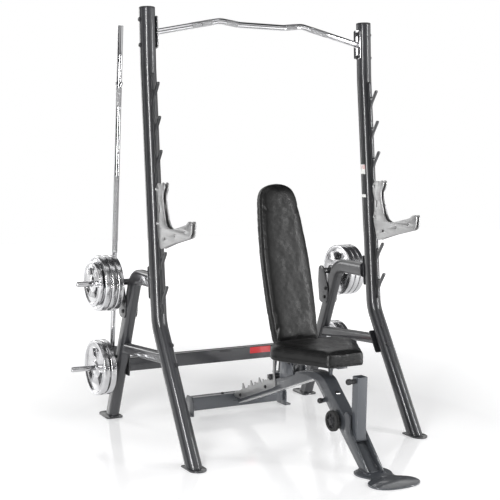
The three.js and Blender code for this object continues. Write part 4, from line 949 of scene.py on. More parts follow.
def make_peg(side, sign, level, place, start, collar_end):
    tip, radius, collar_radius = 0.875, 0.0135, 0.022
    length, collar = tip - start, collar_end - start
    nose = 0.004
    profile = [(0, 0), (0, collar_radius - 0.001), (0.001, collar_radius), (collar - 0.003, collar_radius)]
    profile += [(collar - 0.001, collar_radius - 0.001), (collar, collar_radius - 0.003), (collar, radius)]
    profile += [
        (length - nose + nose * math.sin(t), radius - nose + nose * math.cos(t)) for t in (0, 0.5, 1.0, 1.4)
    ]
    profile += [(length - 0.0006, radius * 0.62), (length - 0.0010, radius * 0.55), (length - 0.0010, 0)]
    turned_piece(f"{level}_peg_rod_{side}", profile, at(sign * start, place), (sign, 0, 0), 40,
                 "rack", "chrome", replaces=[f"{level}_peg_{side}"])


def make_rack():
    for side, sign in SIDES:
        make_upright(side, sign)
        make_cap(side, sign)
        make_rail(side, sign)
        make_rear_leg(side, sign)
        make_brace(side, sign)
        make_peg_bracket(side, sign)
        leg_outer = LEG_X + LEG_WIDTH / 2 + GAP
        make_peg(side, sign, "upper", UPPER_PEG, leg_outer + GAP + FLANGE, 0.676)
        make_peg(side, sign, "lower", LOWER_PEG, leg_outer, 0.682)
    make_crossbar()
    make_pullup_bar()


# ================================================================ weights and stored bar
UPPER_PLANS = (
    ("inner", 0.678, 0.141, 0.030),
    ("middle", 0.711, 0.141, 0.030),
    ("outer", 0.744, 0.141, 0.030),
    ("small", 0.777, 0.114, 0.020),
)
LOWER_PLANS = (("inner", 0.684, 0.141, 0.030), ("outer", 0.722, 0.141, 0.030))
PLATE_BORE = 0.0155
BAR_FOOT = Vector((-0.616, 0.759, 0.330))
BAR_HEAD = Vector((-0.578, 0.759, 2.036))
BAR_RADIUS = 0.014
BAR_COLLAR = 0.019
BAR_SLEEVE = 0.300
BAR_WAY = (BAR_HEAD - BAR_FOOT).normalized()
BAR_LENGTH = (BAR_HEAD - BAR_FOOT).length


def grip_outline(place, radius, grow=0.0):
    """The kidney-shaped hand grips through a plate, one outline each."""
    outlines = []
    span = math.radians(25)
    for i in range(3):
        middle = 2 * math.pi * i / 3 + math.pi / 2
        turns = [middle + span * k / 6 for k in range(-6, 7)]
        outer, inner = radius * 0.705 + grow, radius * 0.415 - grow
        loop = [(place[0] + outer * math.cos(t), place[1] + outer * math.sin(t)) for t in turns]
        loop += [(place[0] + inner * math.cos(t), place[1] + inner * math.sin(t)) for t in reversed(turns)]
        outlines.append(rounded(loop, radius * 0.13, 6))
    return outlines


def both_faces(thickness, side):
    """A closed profile of one face's (depth, radius) rows and the same rows on the other face."""
    far = [(thickness - depth, radius) for depth, radius in reversed(side)]
    return side + far + side[:1]


def rim_profile(radius, thickness, recess):
    """The rolled rim: flat sides, soft corners and a fillet down to the web."""
    ease, wide = 0.005, 0.014
    inner = radius - wide
    turns = (0.0, 0.4, 0.8, 1.2, 1.57)
    side = [(ease - ease * math.sin(t), radius - ease + ease * math.cos(t)) for t in turns]
    side += [(0.0006, inner + 0.001), (0.0022, inner - 0.0006)]
    side += [(recess, inner - 0.006), (recess + 0.003, inner - 0.009)]
    return both_faces(thickness, side)


def hub_profile(thickness, recess):
    boss, ease = 0.033, 0.0012
    side = [(ease, PLATE_BORE), (0, PLATE_BORE + ease), (0, boss - 0.003), (0.001, boss - 0.0006)]
    side += [(recess - 0.002, boss + 0.004), (recess + 0.001, boss + 0.009)]
    return both_faces(thickness, side)


def make_plate(side, sign, level, place, plan):
    label, start, radius, thickness = plan
    recess = 0.0065 if thickness > 0.025 else 0.004
    x = sign * (start + thickness / 2)
    holes = [circle(place, PLATE_BORE + 0.004, 32), *grip_outline(place, radius)]
    web = cut_sheet("web", [circle(place, radius - 0.008, 96), *holes], side_frame(x),
                    thickness - 2 * recess, 0.0022)
    near = at(sign * start, place)
    lathe(web, rim_profile(radius, thickness, recess), near, (sign, 0, 0), 96)
    lathe(web, hub_profile(thickness, recess), near, (sign, 0, 0), 48)
    for face in (-1, 1):
        for loop in grip_outline(place, radius, 0.0035):
            lip = [at(x + face * (thickness / 2 - recess), point) for point in loop]
            weld_bead(web, lip, 0.0030, 0)
    node = f"{level}_{label}_plate_{side}"
    body = f"{level}_{label}_weight_{side}"
    add_piece(f"{level}_{label}_disc_{side}", web, body, "plate_chrome", 35, replaces=[node])


def on_bar(distance):
    return BAR_FOOT + BAR_WAY * distance


def make_barbell():
    low, high = BAR_SLEEVE + GAP, BAR_LENGTH - BAR_SLEEVE - GAP
    turned_piece("bar_core", rod_profile(high - low, BAR_RADIUS), on_bar(low), BAR_WAY, 40,
                 "barbell", "chrome", replaces=["barbell_shaft"])
    grips = bmesh.new()
    for start, end in ((0.545, 0.945), (1.295, 1.395)):
        long = end - start
        profile = [(0, 0), (0, BAR_RADIUS), (0.001, BAR_RADIUS + KNURL_RISE)]
        profile += [(long - 0.001, BAR_RADIUS + KNURL_RISE), (long, BAR_RADIUS), (long, 0)]
        lathe(grips, profile, on_bar(start), BAR_WAY, 40)
    add_piece("bar_knurls", grips, "barbell", "chrome", 40, "knurl")
    ends = (
        ("foot", on_bar(BAR_SLEEVE), BAR_FOOT),
        ("head", on_bar(BAR_LENGTH - BAR_SLEEVE), BAR_HEAD),
    )
    for name, start, end in ends:
        long = (end - start).length
        profile = [(0, 0), (0, BAR_COLLAR - 0.0015), (0.0015, BAR_COLLAR), (0.0055, BAR_COLLAR)]
        profile += [(0.0065, BAR_COLLAR - 0.0012), (0.0080, BAR_COLLAR - 0.0012), (0.0090, BAR_COLLAR)]
        profile += [(0.0125, BAR_COLLAR), (0.014, BAR_COLLAR - 0.0015), (0.014, BAR_RADIUS)]
        profile += [(long - 0.0025, BAR_RADIUS), (long - 0.0008, BAR_RADIUS - 0.0008)]
        profile += [(long, BAR_RADIUS - 0.0030), (long, 0.006), (long - 0.0015, 0.0045), (long - 0.0015, 0)]
        turned_piece(f"bar_{name}_end", profile, start, end - start, 40,
                     "barbell", "chrome", 35, replaces=[f"barbell_{name}_sleeve"])


# ================================================================ bar hooks
HOOK_INNER = 0.0068
HOOK_OUTER = 0.0135


def hook_outline():
    points = [
        (111, 1276), (91, 1262), (97, 1240), (112, 1214), (113, 1192), (101, 1150), (81, 1098),
        (63, 1073), (33, 1061), (-5, 1064), (-75, 1080), (-133, 1094), (-163, 1112), (-183, 1114),
        (-191, 1100), (-187, 1060), (-175, 1040), (-157, 1034), (-15, 1000), (73, 974), (117, 960),
        (135, 966), (141, 984), (149, 1010), (165, 1050), (171, 1080), (163, 1110), (169, 1180),
        (183, 1210), (185, 1242), (173, 1262), (149, 1268), (129, 1258),
    ]
    return rounded([(y * MM, z * MM) for y, z in points], 0.030, 6)


def hook_slot():
    return arc((0.143, 1.161), 0.006, 0, 180, 10) + arc((0.143, 1.139), 0.006, 180, 360, 10)


def make_hook(side, sign):
    x = sign * UPRIGHT_X
    body = f"hook_{side}"
    holes = [circle((0.083, 1.012), 0.007), circle((-0.025, 1.038), 0.007), circle((-0.125, 1.062), 0.007)]
    for label, face in (("near", -1), ("far", 1)):
        side_plate(f"hook_{label}_plate_{side}", [hook_outline(), *holes, hook_slot()],
                   x + face * HOOK_INNER, x + face * HOOK_OUTER, body, "zinc", 0.0010,
                   replaces=[f"bar_hook_{side}"] if face == 1 else ())
    pins = bmesh.new()
    reach = HOOK_INNER + 0.001
    for along in (0.468, 0.627):
        place = on_rail(along, 0.062)
        lathe(pins, rod_profile(2 * reach, 0.006), at(x - reach, place), ACROSS, 24)
    for place in ((0.172, 1.237), (0.158, 1.078)):
        for face in (-1, 1):
            hex_head(pins, at(x + face * HOOK_OUTER, place), (face, 0, 0), 0.0075, 0.0048)
    add_piece(f"hook_pins_{side}", pins, body, "zinc", 35)
    web = [(0.035, 1.044), (-0.159, 1.088), (-0.165, 1.060), (0.015, 1.014)]
    side_plate(f"hook_web_{side}", [web], x - reach, x + reach, body, "zinc", 0.0004)


def hex_head(shape, base, way, radius=0.010, tall=0.007):
    """A chamfered hexagon head with a round washer under it."""
    way = Vector(way).normalized()
    washer = radius * 1.28
    washer_profile = [(0, 0), (0, washer), (0.0010, washer), (0.0014, washer - 0.0006), (0.0014, 0)]
    lathe(shape, washer_profile, base, way, 28)
    start = Vector(base) + way * 0.0014
    turn = Vector((0, 0, 1)).rotation_difference(way)
    rings = []
    for along, size in ((0, 1.0), (tall - 0.0016, 1.0), (tall - 0.0004, 0.90), (tall, 0.84)):
        corners = circle((0, 0), radius * size, 6)
        rings.append([shape.verts.new(start + turn @ Vector((a, b, along))) for a, b in corners])
    loft(shape, rings)


def dome_head(shape, base, way):
    """A domed head with a round socket in it."""
    radius, tall = 0.011, 0.006
    steps = (0.0, 0.35, 0.7, 1.05, 1.35)
    profile = [(0, 0), (0, radius * 1.15), (0.0010, radius * 1.15), (0.0010, radius)]
    profile += [(0.0010 + tall * math.sin(t), radius * math.cos(t)) for t in steps[1:]]
    profile += [(0.0010 + tall, 0.0035), (0.0010 + tall * 0.55, 0.0030), (0.0010 + tall * 0.55, 0)]
    lathe(shape, profile, base, way, 28)


# ================================================================ bench frame
SPINE_HALF = 0.030
SPINE_HALF_WIDTH = 0.034
SPINE_TOP_END = 0.454
SPINE_LOW_END = 0.430
BEAM_HALF = 0.285
BEAM_TALL = 0.072
BEAM_DEEP = 0.060
LEG_RISE = 0.86
LEG_REAR_AT = (-0.203, 0.335)
LEG_FRONT_AT = (-0.351, 0.305)
CHEEK_INNER = SPINE_HALF_WIDTH + GAP
CHEEK_THICKNESS = 0.012
COMB_THICKNESS = 0.005
CHEEK_BEHIND = 0.058
CHEEK_PROUD = 0.008
CHEEK_FOOT_BACK = 0.022
CHANNEL_TOP = 0.128
KNOB_STEPS = 72
KNOB_FLUTES = 9
LUG_THICKNESS = 0.006
CHANNEL_DEPTHS = (0.036, 0.050)
SPINE_WAY = (math.cos(SPINE_SLOPE), -math.sin(SPINE_SLOPE))
on_spine = leaning(SPINE_ORIGIN, SPINE_WAY, (math.sin(SPINE_SLOPE), math.cos(SPINE_SLOPE)))
SPINE_BACK = on_spine(SPINE_TOP_END, SPINE_HALF)[0]


def leg_rear(z):
    return LEG_REAR_AT[0] + (z - LEG_REAR_AT[1]) / LEG_RISE


def leg_front(z):
    return LEG_FRONT_AT[0] + (z - LEG_FRONT_AT[1]) / LEG_RISE


def make_spine():
    bottom = FOOT_THICKNESS + GAP
    crest, crotch = on_spine(-0.205, SPINE_HALF), on_spine(-0.342, -SPINE_HALF)
    low = on_spine(SPINE_LOW_END, -SPINE_HALF)
    leg_top = (leg_rear(0.300), 0.300)
    outline = [low, on_spine(SPINE_TOP_END, SPINE_HALF), crest]
    outline += bezier(crest, (-0.125, 0.376), (-0.205, 0.394), (-0.275, 0.366), 14)
    outline += bezier((-0.275, 0.366), (-0.291, 0.360), (-0.301, 0.350), (leg_front(0.330), 0.330), 8)
    outline += [
        (leg_front(CHANNEL_TOP), CHANNEL_TOP),
        (leg_front(CHANNEL_TOP - 0.010) + CHANNEL_DEPTHS[0], CHANNEL_TOP - 0.010),
        (leg_front(bottom) + CHANNEL_DEPTHS[1], bottom), (leg_rear(bottom), bottom), leg_top,
    ]
    control = (-0.193, 0.343)
    outline += [
        tuple((1 - t) ** 2 * a + 2 * t * (1 - t) * c + t * t * b for a, c, b in zip(leg_top, control, crotch))
        for t in (0.15, 0.3, 0.45, 0.6, 0.75, 0.9, 1.0)
    ]
    side_plate("spine_tube", [outline], BENCH_X - SPINE_HALF_WIDTH, BENCH_X + SPINE_HALF_WIDTH,
               "bench", "bench_frame", 0.006, replaces=["bench_spine"])


def make_rear_beam():
    near = SPINE_BACK + 0.003
    far = near + BEAM_DEEP
    middle = (near + far) / 2
    shape = bmesh.new()
    ends = [Vector((BENCH_X + sign * BEAM_HALF, middle, 0.062)) for sign in (-1, 1)]
    sweep(shape, ends, DEPTH, soft_rectangle(BEAM_TALL, BEAM_DEEP, 0.008))
    add_piece("rear_beam", shape, "bench", "bench_frame", 40, replaces=["bench_rear_foot"])
    outline = [
        (near - 0.018, 0), (far + 0.018, 0), (far + 0.018, 0.074),
        (far - 0.002, 0.104), (near + 0.002, 0.104), (near - 0.018, 0.074),
    ]
    for side, sign in SIDES:
        x = BENCH_X + sign * BEAM_HALF
        side_plate(f"rear_beam_end_{side}", [rounded(outline, 0.006)], x - sign * 0.001, x + sign * FLANGE,
                   "bench", "bench_frame", 0.001)
        pad = [
            (x, near - 0.012), (x + sign * 0.038, near - 0.012),
            (x + sign * 0.038, far + 0.012), (x, far + 0.012),
        ]
        sheet_piece(f"rear_beam_foot_{side}", [rounded(pad, 0.006)], floor_frame(0.0035), 0.007, 0.001,
                    "bench", "bench_frame")
    corners = [on_spine(SPINE_TOP_END, SPINE_HALF), on_spine(SPINE_LOW_END, -SPINE_HALF)]
    loop = [Vector((BENCH_X + a * SPINE_HALF_WIDTH, SPINE_BACK + 0.002, corners[b][1]))
            for a, b in ((-1, 0), (1, 0), (1, 1), (-1, 1))]
    add_welds("rear_beam_weld", [loop], "bench", "bench_frame", 0.0024)


def make_front_foot():
    halves = [
        ((0.060, -0.571), (0.088, -0.603), (0.088, -0.641)),
        ((0.088, -0.681), (0.066, -0.693), (0.066, -0.717)),
        ((0.066, -0.739), (0.126, -0.743), (0.126, -0.801)),
        ((0.126, -0.855), (0.070, -0.875), (0, -0.875)),
    ]
    right = [(0, -0.575)]
    for a, b, c in halves:
        right += bezier(right[-1], a, b, c, 12)
    left = [(-x, y) for x, y in reversed(right[1:-1])]
    outline = [(BENCH_X + x, y) for x, y in right + left]
    sheet_piece("splayed_foot", [outline], floor_frame(FOOT_THICKNESS / 2), FOOT_THICKNESS, 0.0016,
                "bench", "bench_frame", replaces=["bench_front_foot"])
    bottom = FOOT_THICKNESS + 0.001
    front, rear = leg_front(bottom), leg_rear(bottom)
    leg, cheek = CHEEK_INNER, CHEEK_INNER + CHEEK_THICKNESS
    right = [
        (leg, rear), (leg, rear - CHEEK_BEHIND), (cheek, rear - CHEEK_BEHIND),
        (cheek, front + CHEEK_FOOT_BACK), (leg, front + CHEEK_FOOT_BACK), (leg, front + CHANNEL_DEPTHS[1]),
    ]
    loop = [Vector((BENCH_X + x, y, bottom)) for x, y in right + [(-x, y) for x, y in reversed(right)]]
    add_welds("splayed_foot_weld", [loop], "bench", "bench_frame", 0.0030)


def make_cheek(side, sign):
    bottom = FOOT_THICKNESS + GAP
    outline = [
        (leg_rear(bottom) - CHEEK_BEHIND, bottom), (leg_rear(0.150) - CHEEK_BEHIND, 0.150), (-0.467, 0.215),
    ]
    outline += bezier((-0.467, 0.215), (-0.467, 0.258), (-0.509, 0.262), (-0.515, 0.226), 12)
    outline += [(-0.516, 0.196), (leg_front(0.165) - CHEEK_PROUD, 0.165)]
    outline.append((leg_front(bottom) + CHEEK_FOOT_BACK, bottom))
    x = BENCH_X + sign * CHEEK_INNER
    side_plate(f"cheek_{side}", [rounded(outline, 0.010, 5)], x, x + sign * CHEEK_THICKNESS,
               "bench", "bench_frame", 0.0016, replaces=[f"leg_cheek_{side}"])


def make_post():
    half, wall, corner = POST_HALF, 0.003, 0.006
    outer = soft_rectangle(2 * half, 2 * half, corner)
    inner = soft_rectangle(2 * (half - wall), 2 * (half - wall), corner - wall)
    eased = soft_rectangle(2 * (half - 0.0008), 2 * (half - 0.0008), corner - 0.0008)
    shape = bmesh.new()

    def ring(section, height):
        return [shape.verts.new((BENCH_X + a, POST_Y + b, height(POST_Y + b))) for a, b in section]

    rings = [
        ring(outer, lambda y: LEG_FRONT_AT[1] + (y - LEG_FRONT_AT[0]) * LEG_RISE + 0.001),
        ring(outer, lambda y: POST_TOP - 0.0008),
        ring(eased, lambda y: POST_TOP),
        ring(inner, lambda y: POST_TOP),
        ring(inner, lambda y: 0.250),
    ]
    loft(shape, rings)
    foot_loops = ring_loops(rings[:1])
    add_piece("socket_post", shape, "bench", "bench_frame", 40, replaces=["receiver_post"])
    add_welds("socket_post_weld", foot_loops, "bench", "bench_frame", 0.0026)


def comb_outline():
    tip_height, floor, pitch = 63.5, 32.5, 91.4
    points = [(2, -6), (40, -12), (390, -12), (440, 6), (452, 20), (440, 34), (pitch * 4 + 6, floor)]
    for i in (3, 2, 1, 0):
        tip = 64 + i * pitch
        points += [
            (tip + 14, floor + 3), (tip + 5, tip_height - 8), (tip + 2, tip_height),
            (tip - 3, tip_height - 1), (tip - 8, tip_height - 12), (tip - 16, floor), (tip - 46, floor),
        ]
        if i > 0:
            points += [(tip - 52, floor + 8), (tip - 60, floor + 10)]
    outline = [on_spine(along * MM, square * MM) for along, square in points]
    y, z = on_spine(0.016, 0.0355)
    outline += [(y, z), (y + 0.001, 0.392), (y - 0.006, 0.400), (y - 0.013, 0.392), (y - 0.015, 0.300)]
    return rounded(outline, 0.004, 4)


def make_comb(side, sign):
    x = BENCH_X + sign * CHEEK_INNER
    side_plate(f"tooth_plate_{side}", [comb_outline()], x, x + sign * COMB_THICKNESS, "bench", "zinc", 0.0009,
               replaces=[f"comb_{side}"])


def make_stop_bar():
    low = 0.0325 + GAP
    y, z = on_spine(0.033, low + 0.012)
    shape = bmesh.new()
    section = [(a * math.cos(SPINE_SLOPE) - b * math.sin(SPINE_SLOPE),
                a * math.sin(SPINE_SLOPE) + b * math.cos(SPINE_SLOPE))
               for a, b in soft_rectangle(0.024, 0.024, 0.004)]
    rings = []
    for x, scale in ((-0.048, 0.9), (-0.0465, 1), (0.0465, 1), (0.048, 0.9)):
        rings.append([shape.verts.new((BENCH_X + x, y + b * scale, z - a * scale)) for a, b in section])
    loft(shape, rings)
    add_piece("stop_block", shape, "bench", "black_plastic", 40, replaces=["stop_bar"])


def make_wheel(side, sign):
    body = f"roller_{side}"
    near = BENCH_X + sign * (CHEEK_INNER + 0.009)
    place = at(near, WHEEL_CENTRE)
    tyre = [
        (0.0045, 0.034), (0.004, 0.036), (0.004, 0.044), (0.0050, 0.0468), (0.0075, 0.0486),
        (0.0100, 0.0490), (0.0125, 0.0490), (0.0135, 0.0480), (0.0165, 0.0480), (0.0175, 0.0490),
        (0.0200, 0.0490), (0.0225, 0.0486), (0.0250, 0.0468), (0.0260, 0.044), (0.0260, 0.036),
        (0.0250, 0.034), (0.0045, 0.034),
    ]
    turned_piece(f"tyre_{side}", tyre, place, (sign, 0, 0), 56, body, "wheel_rubber", 35,
                 replaces=[f"wheel_{side}"])
    hub = [
        (0.0, 0.0066), (0.0, 0.016), (0.0015, 0.018), (0.010, 0.019), (0.012, 0.022), (0.012, 0.033),
        (0.006, 0.0345), (0.006, 0.0350), (0.0240, 0.0350), (0.0240, 0.0345), (0.020, 0.033), (0.020, 0.022),
        (0.022, 0.019), (0.0260, 0.0175), (0.027, 0.016), (0.027, 0.0066), (0.0, 0.0066),
    ]
    shape = bmesh.new()
    lathe(shape, hub, place, (sign, 0, 0), 48)
    for k in range(6):
        turn = math.pi / 3 * k
        way = Vector((0, math.cos(turn), math.sin(turn)))
        side_way = ACROSS.cross(way) * 0.0018
        middle = place + ACROSS * sign * 0.016
        rings = []
        for reach in (0.017, 0.034):
            rings.append([
                shape.verts.new(middle + way * reach + side_way * a + ACROSS * b)
                for a, b in ((-1, -0.008), (1, -0.008), (0.7, 0.008), (-0.7, 0.008))
            ])
        loft(shape, rings)
    add_piece(f"wheel_hub_{side}", shape, body, "wheel_rubber", 35, "black_plastic")
    shape = bmesh.new()
    start = BENCH_X + sign * CHEEK_INNER
    end = 0.040
    lathe(shape, [(0, 0), (0, 0.006), (end - 0.001, 0.006), (end, 0.005), (end, 0)],
          at(start, WHEEL_CENTRE), (sign, 0, 0), 28)
    hex_head(shape, at(BENCH_X + sign * (CHEEK_INNER + 0.0362), WHEEL_CENTRE), (sign, 0, 0), 0.0095, 0.0030)
    add_piece(f"wheel_axle_{side}", shape, "bench", "zinc", 35, "black_plastic", [f"axle_{side}"])


def make_knob(name, node, body, place, stem_end, knob_start, radius):
    """A pull knob: a plain stem and a fluted grip with a dished end."""
    neck = stem_end - knob_start
    shape = bmesh.new()
    stem = [(0, 0), (0, 0.004), (0.001, 0.005), (neck, 0.005), (neck, 0)]
    lathe(shape, stem, at(stem_end, place), (-1, 0, 0), 24)
    grip = [
        (0.0, 0.62), (0.001, 0.70), (0.004, 0.94), (0.007, 1.0), (0.017, 1.0),
        (0.0205, 0.94), (0.023, 0.78), (0.024, 0.60), (0.0225, 0.42), (0.0215, 0.20),
    ]
    rings = []
    for along, size in grip:
        ring = []
        for k in range(KNOB_STEPS):
            turn = 2 * math.pi * k / KNOB_STEPS
            flute = 0.07 * max(0.0, math.cos(KNOB_FLUTES * turn)) if size > 0.9 else 0
            reach = radius * size * (1 - flute)
            ring.append(shape.verts.new((
                knob_start - along,
                place[0] + reach * math.cos(turn),
                place[1] + reach * math.sin(turn),
            )))
        rings.append(ring)
    loft(shape, rings)
    add_piece(name, shape, body, "black_plastic", 45, replaces=[node])


def make_housing():
    face = BENCH_X - POST_HALF - GAP
    profile = [
        (0, 0.0056), (0, 0.0102), (0.0008, 0.011), (0.007, 0.011), (0.0078, 0.0103), (0.0092, 0.0103),
        (0.010, 0.011), (0.0212, 0.011), (0.022, 0.0102), (0.022, 0.0056), (0, 0.0056),
    ]
    turned_piece("post_pin_sleeve", profile, at(face, POST_PIN), (-1, 0, 0), 36,
                 "bench", "black_plastic", replaces=["post_pin_housing"])


def make_bench():
    make_spine()
    make_rear_beam()
    make_front_foot()
    make_post()
    make_stop_bar()
    make_housing()
    for side, sign in SIDES:
        make_cheek(side, sign)
        make_comb(side, sign)
        make_wheel(side, sign)
    face = BENCH_X - POST_HALF - GAP
    make_knob("post_pull_knob", "post_pin", "post_plunger", POST_PIN, face + 0.006, face - 0.023, 0.014)
    make_knob("seat_pull_knob", "seat_pin", "seat_plunger", SEAT_PIN, BENCH_X + 0.014, BENCH_X - 0.035, 0.013)


# ================================================================ padding
BACK_UP = (math.sin(BACK_LEAN), math.cos(BACK_LEAN))
BACK_REAR = (math.cos(BACK_LEAN), -math.sin(BACK_LEAN))
SEAT_FORWARD = (-1, 0)
SEAT_UP = (0, 1)
REMESH = 0.005
PAD_SHRINK = 0.002
STITCH_SPACING = 0.0055
CLOTH_FRAMES = 20
CLOTH_CAP = 0.006
BACK_BASE = 0.0495
BACK_THICKNESS = 0.055
BACK_START = 0.050
BACK_TOP = 0.867
SEAT_BACK = 0.058
SEAT_FRONT = 0.446
FACE_SEAM_DROP = 0.014
BOARD_SEAM = 0.009
SEAM_INSET = 0.004
STITCH_LINES = ((0.007, 0.008), (0.001, 0.019))


def pad_frame(hinge, along, outward, base):
    """Carries pad coordinates (across, along, height over the board) into the room."""
    return tilted_frame(BENCH_X, along, outward, Vector(hinge) + Vector(outward) * base)


def mirrored(right):
    """Closes half an outline, drawn on the right from its foot to its head."""
    return right + [(-x, y) for x, y in reversed(right)]


def back_outline():
    start, top = BACK_START, BACK_TOP
    right = [(0.104, start)]
    right += bezier(right[-1], (0.120, start), (0.127, start + 0.008), (0.129, start + 0.026), 6)
    right += bezier(right[-1], (0.143, 0.260), (0.143, 0.380), (0.141, 0.460), 24)
    right += bezier(right[-1], (0.135, 0.600), (0.122, 0.700), (0.112, top - 0.090), 20)
    right += bezier(right[-1], (0.100, top - 0.020), (0.062, top), (0.004, top), 20)
    return mirrored(right)


def seat_outline():
    """Wide shoulders near the backrest, straight sides tapering to a narrow front."""
    back, front = SEAT_BACK, SEAT_FRONT
    right = [(0.100, back)]
    right += bezier(right[-1], (0.180, back), (0.238, 0.105), (0.240, 0.160), 20)
    right += bezier(right[-1], (0.240, 0.175), (0.236, 0.190), (0.230, 0.204), 8)
    right.append((0.108, front - 0.016))
    right += bezier(right[-1], (0.103, front - 0.005), (0.095, front), (0.084, front), 8)
    return mirrored(right)


def even_loop(outline, spacing=0.003):
    return resampled([Vector((x, y, 0)) for x, y in outline], spacing)


def inset_loop(loop, depth):
    """The loop moved inwards. Its points run anticlockwise."""
    moved = []
    for i, point in enumerate(loop):
        way = (loop[(i + 1) % len(loop)] - loop[i - 2]).normalized()
        moved.append(point + Vector((-way.y, way.x, 0)) * depth)
    return moved


def lifted_loop(edge, depth, height):
    """The pad's edge moved inwards, at a height over the board."""
    return [Vector((p.x, p.y, height)) for p in inset_loop(edge, depth)]


def tree_of(points):
    tree = KDTree(len(points))
    for i, point in enumerate(points):
        tree.insert(point, i)
    tree.balance()
    return tree


def smooth_step(value, low, high):
    t = max(0.0, min(1.0, (value - low) / (high - low)))
    return t * t * (3 - 2 * t)


def pad_block(outline, thickness):
    """A plain prism, remeshed into an even skin."""
    shape = bmesh.new()
    edge = inset_loop(even_loop(outline, 0.006), PAD_SHRINK)
    rings = [[shape.verts.new((p.x, p.y, h)) for p in edge] for h in (0.0005, thickness - PAD_SHRINK)]
    loft(shape, rings)
    bmesh.ops.recalc_face_normals(shape, faces=shape.faces)
    mesh = bpy.data.meshes.new("pad")
    shape.to_mesh(mesh)
    shape.free()
    block = bpy.data.objects.new("pad", mesh)
    bpy.context.scene.collection.objects.link(block)
    remesh = block.modifiers.new("skin", "REMESH")
    remesh.mode = "VOXEL"
    remesh.voxel_size = REMESH
    bake_modifiers(block)
    return block


def bake_modifiers(block):
    graph = bpy.context.evaluated_depsgraph_get()
    baked = bpy.data.meshes.new_from_object(block.evaluated_get(graph))
    old = block.data
    block.modifiers.clear()
    block.data = baked
    bpy.data.meshes.remove(old)


def crown(block, outline, thickness, fall, reach):
    """Lowers the face towards its edge and pulls the side walls in at the top and bottom."""
    edge = even_loop(outline)
    tree = tree_of(edge)
    centre = sum(edge, Vector()) / len(edge)
    for vert in block.data.vertices:
        flat = Vector((vert.co.x, vert.co.y, 0))
        nearest, _, distance = tree.find(flat)
        level = vert.co.z / thickness
        drop = fall * (1 - min(1.0, distance / reach)) ** 2
        vert.co.z -= drop * smooth_step(level, 0.3, 0.95)
        near_edge = 1 - smooth_step(distance, 0.0, 0.03)
        pull = 0.006 * abs(2 * level - 1) ** 2 * near_edge
        inward = (centre - nearest).normalized()
        vert.co += Vector((inward.x, inward.y, 0)) * pull


def relax(block, rounds):
    shape = bmesh.new()
    shape.from_mesh(block.data)
    for _ in range(rounds):
        bmesh.ops.smooth_vert(
            shape, verts=shape.verts, factor=0.5, use_axis_x=True, use_axis_y=True, use_axis_z=True
        )
    shape.to_mesh(block.data)
    shape.free()


def inflate(block, thickness):
    """Blows the skin up as cloth, and lets no point move further than the cap. The board side stays flat."""
    cloth = block.modifiers.new("cloth", "CLOTH")
    settings = cloth.settings
    settings.quality = 5
    settings.mass = 0.3
    settings.tension_stiffness = 14
    settings.compression_stiffness = 14
    settings.shear_stiffness = 6
    settings.bending_stiffness = 0.6
    settings.use_pressure = True
    settings.uniform_pressure_force = 4.0
    settings.effector_weights.gravity = 0.0
    cloth.point_cache.frame_start = 1
    cloth.point_cache.frame_end = CLOTH_FRAMES
    scene = bpy.context.scene
    for number in range(1, CLOTH_FRAMES + 1):
        scene.frame_set(number)
    graph = bpy.context.evaluated_depsgraph_get()
    swollen = [vert.co.copy() for vert in block.evaluated_get(graph).data.vertices]
    block.modifiers.clear()
    scene.frame_set(1)
    for vert, target in zip(block.data.vertices, swollen):
        move = target - vert.co
        if move.length > CLOTH_CAP:
            move *= CLOTH_CAP / move.length
        vert.co += move * smooth_step(vert.co.z, 0.004, 0.35 * thickness)
        vert.co.z = max(vert.co.z, 0.0004)


def refine(block):
    finer = block.modifiers.new("finer", "SUBSURF")
    finer.levels = finer.render_levels = 1
    bake_modifiers(block)


def sew(block, seams):
    """Presses a groove along each seam, lets the skin swell beside it and puckers it across."""
    points, marks = [], []
    for seam in seams:
        for i, point in enumerate(seam):
            points.append(point)
            marks.append(i * (seam[1] - seam[0]).length)
    tree = tree_of(points)
    moves = []
    for vert in block.data.vertices:
        _, index, distance = tree.find(vert.co)
        groove = -0.0024 * math.exp(-((distance / 0.0032) ** 2))
        swell = 0.0010 * math.exp(-(((distance - 0.011) / 0.006) ** 2))
        pucker = 0.0002 * math.sin(marks[index] * 2 * math.pi / 0.021) * math.exp(-distance / 0.012)
        soft = 0.0011 * noise.noise(vert.co * 17) + 0.0005 * noise.noise(vert.co * 46)
        moves.append(vert.normal * (groove + swell + pucker + soft * smooth_step(vert.co.z, 0.004, 0.02)))
    for vert, move in zip(block.data.vertices, moves):
        vert.co += move


def stitches(block, lines):
    """Short raised threads laid on the skin along each line of points."""
    points = [vert.co.copy() for vert in block.data.vertices]
    skin = BVHTree.FromPolygons(points, [tuple(face.vertices) for face in block.data.polygons])
    profile = [(0, 0), (0.0002, 0.00030), (0.0008, 0.00042)]
    profile += [(0.0030, 0.00042), (0.0036, 0.00030), (0.0038, 0)]
    shape = bmesh.new()
    for line in lines:
        step = max(1, round(STITCH_SPACING / (line[1] - line[0]).length))
        for i in range(0, len(line) - 1, step):
            place, normal, _, _ = skin.find_nearest(line[i])
            ahead = (line[(i + 1) % len(line)] - line[i]).normalized()
            ahead = (ahead - normal * ahead.dot(normal)).normalized()
            lathe(shape, profile, place - ahead * 0.0019 + normal * 0.0001, ahead, 6)
    return shape


def finish_pad(block, name, body, place, node, lines):
    threads = stitches(block, lines)
    threads.transform(place)
    add_piece(f"{name}_stitching", threads, body, "leather", 50, "thread")
    shape = bmesh.new()
    shape.from_mesh(block.data)
    shape.transform(place)
    bpy.data.objects.remove(block)
    pad = add_piece(name, shape, body, "leather", 180, replaces=[node])


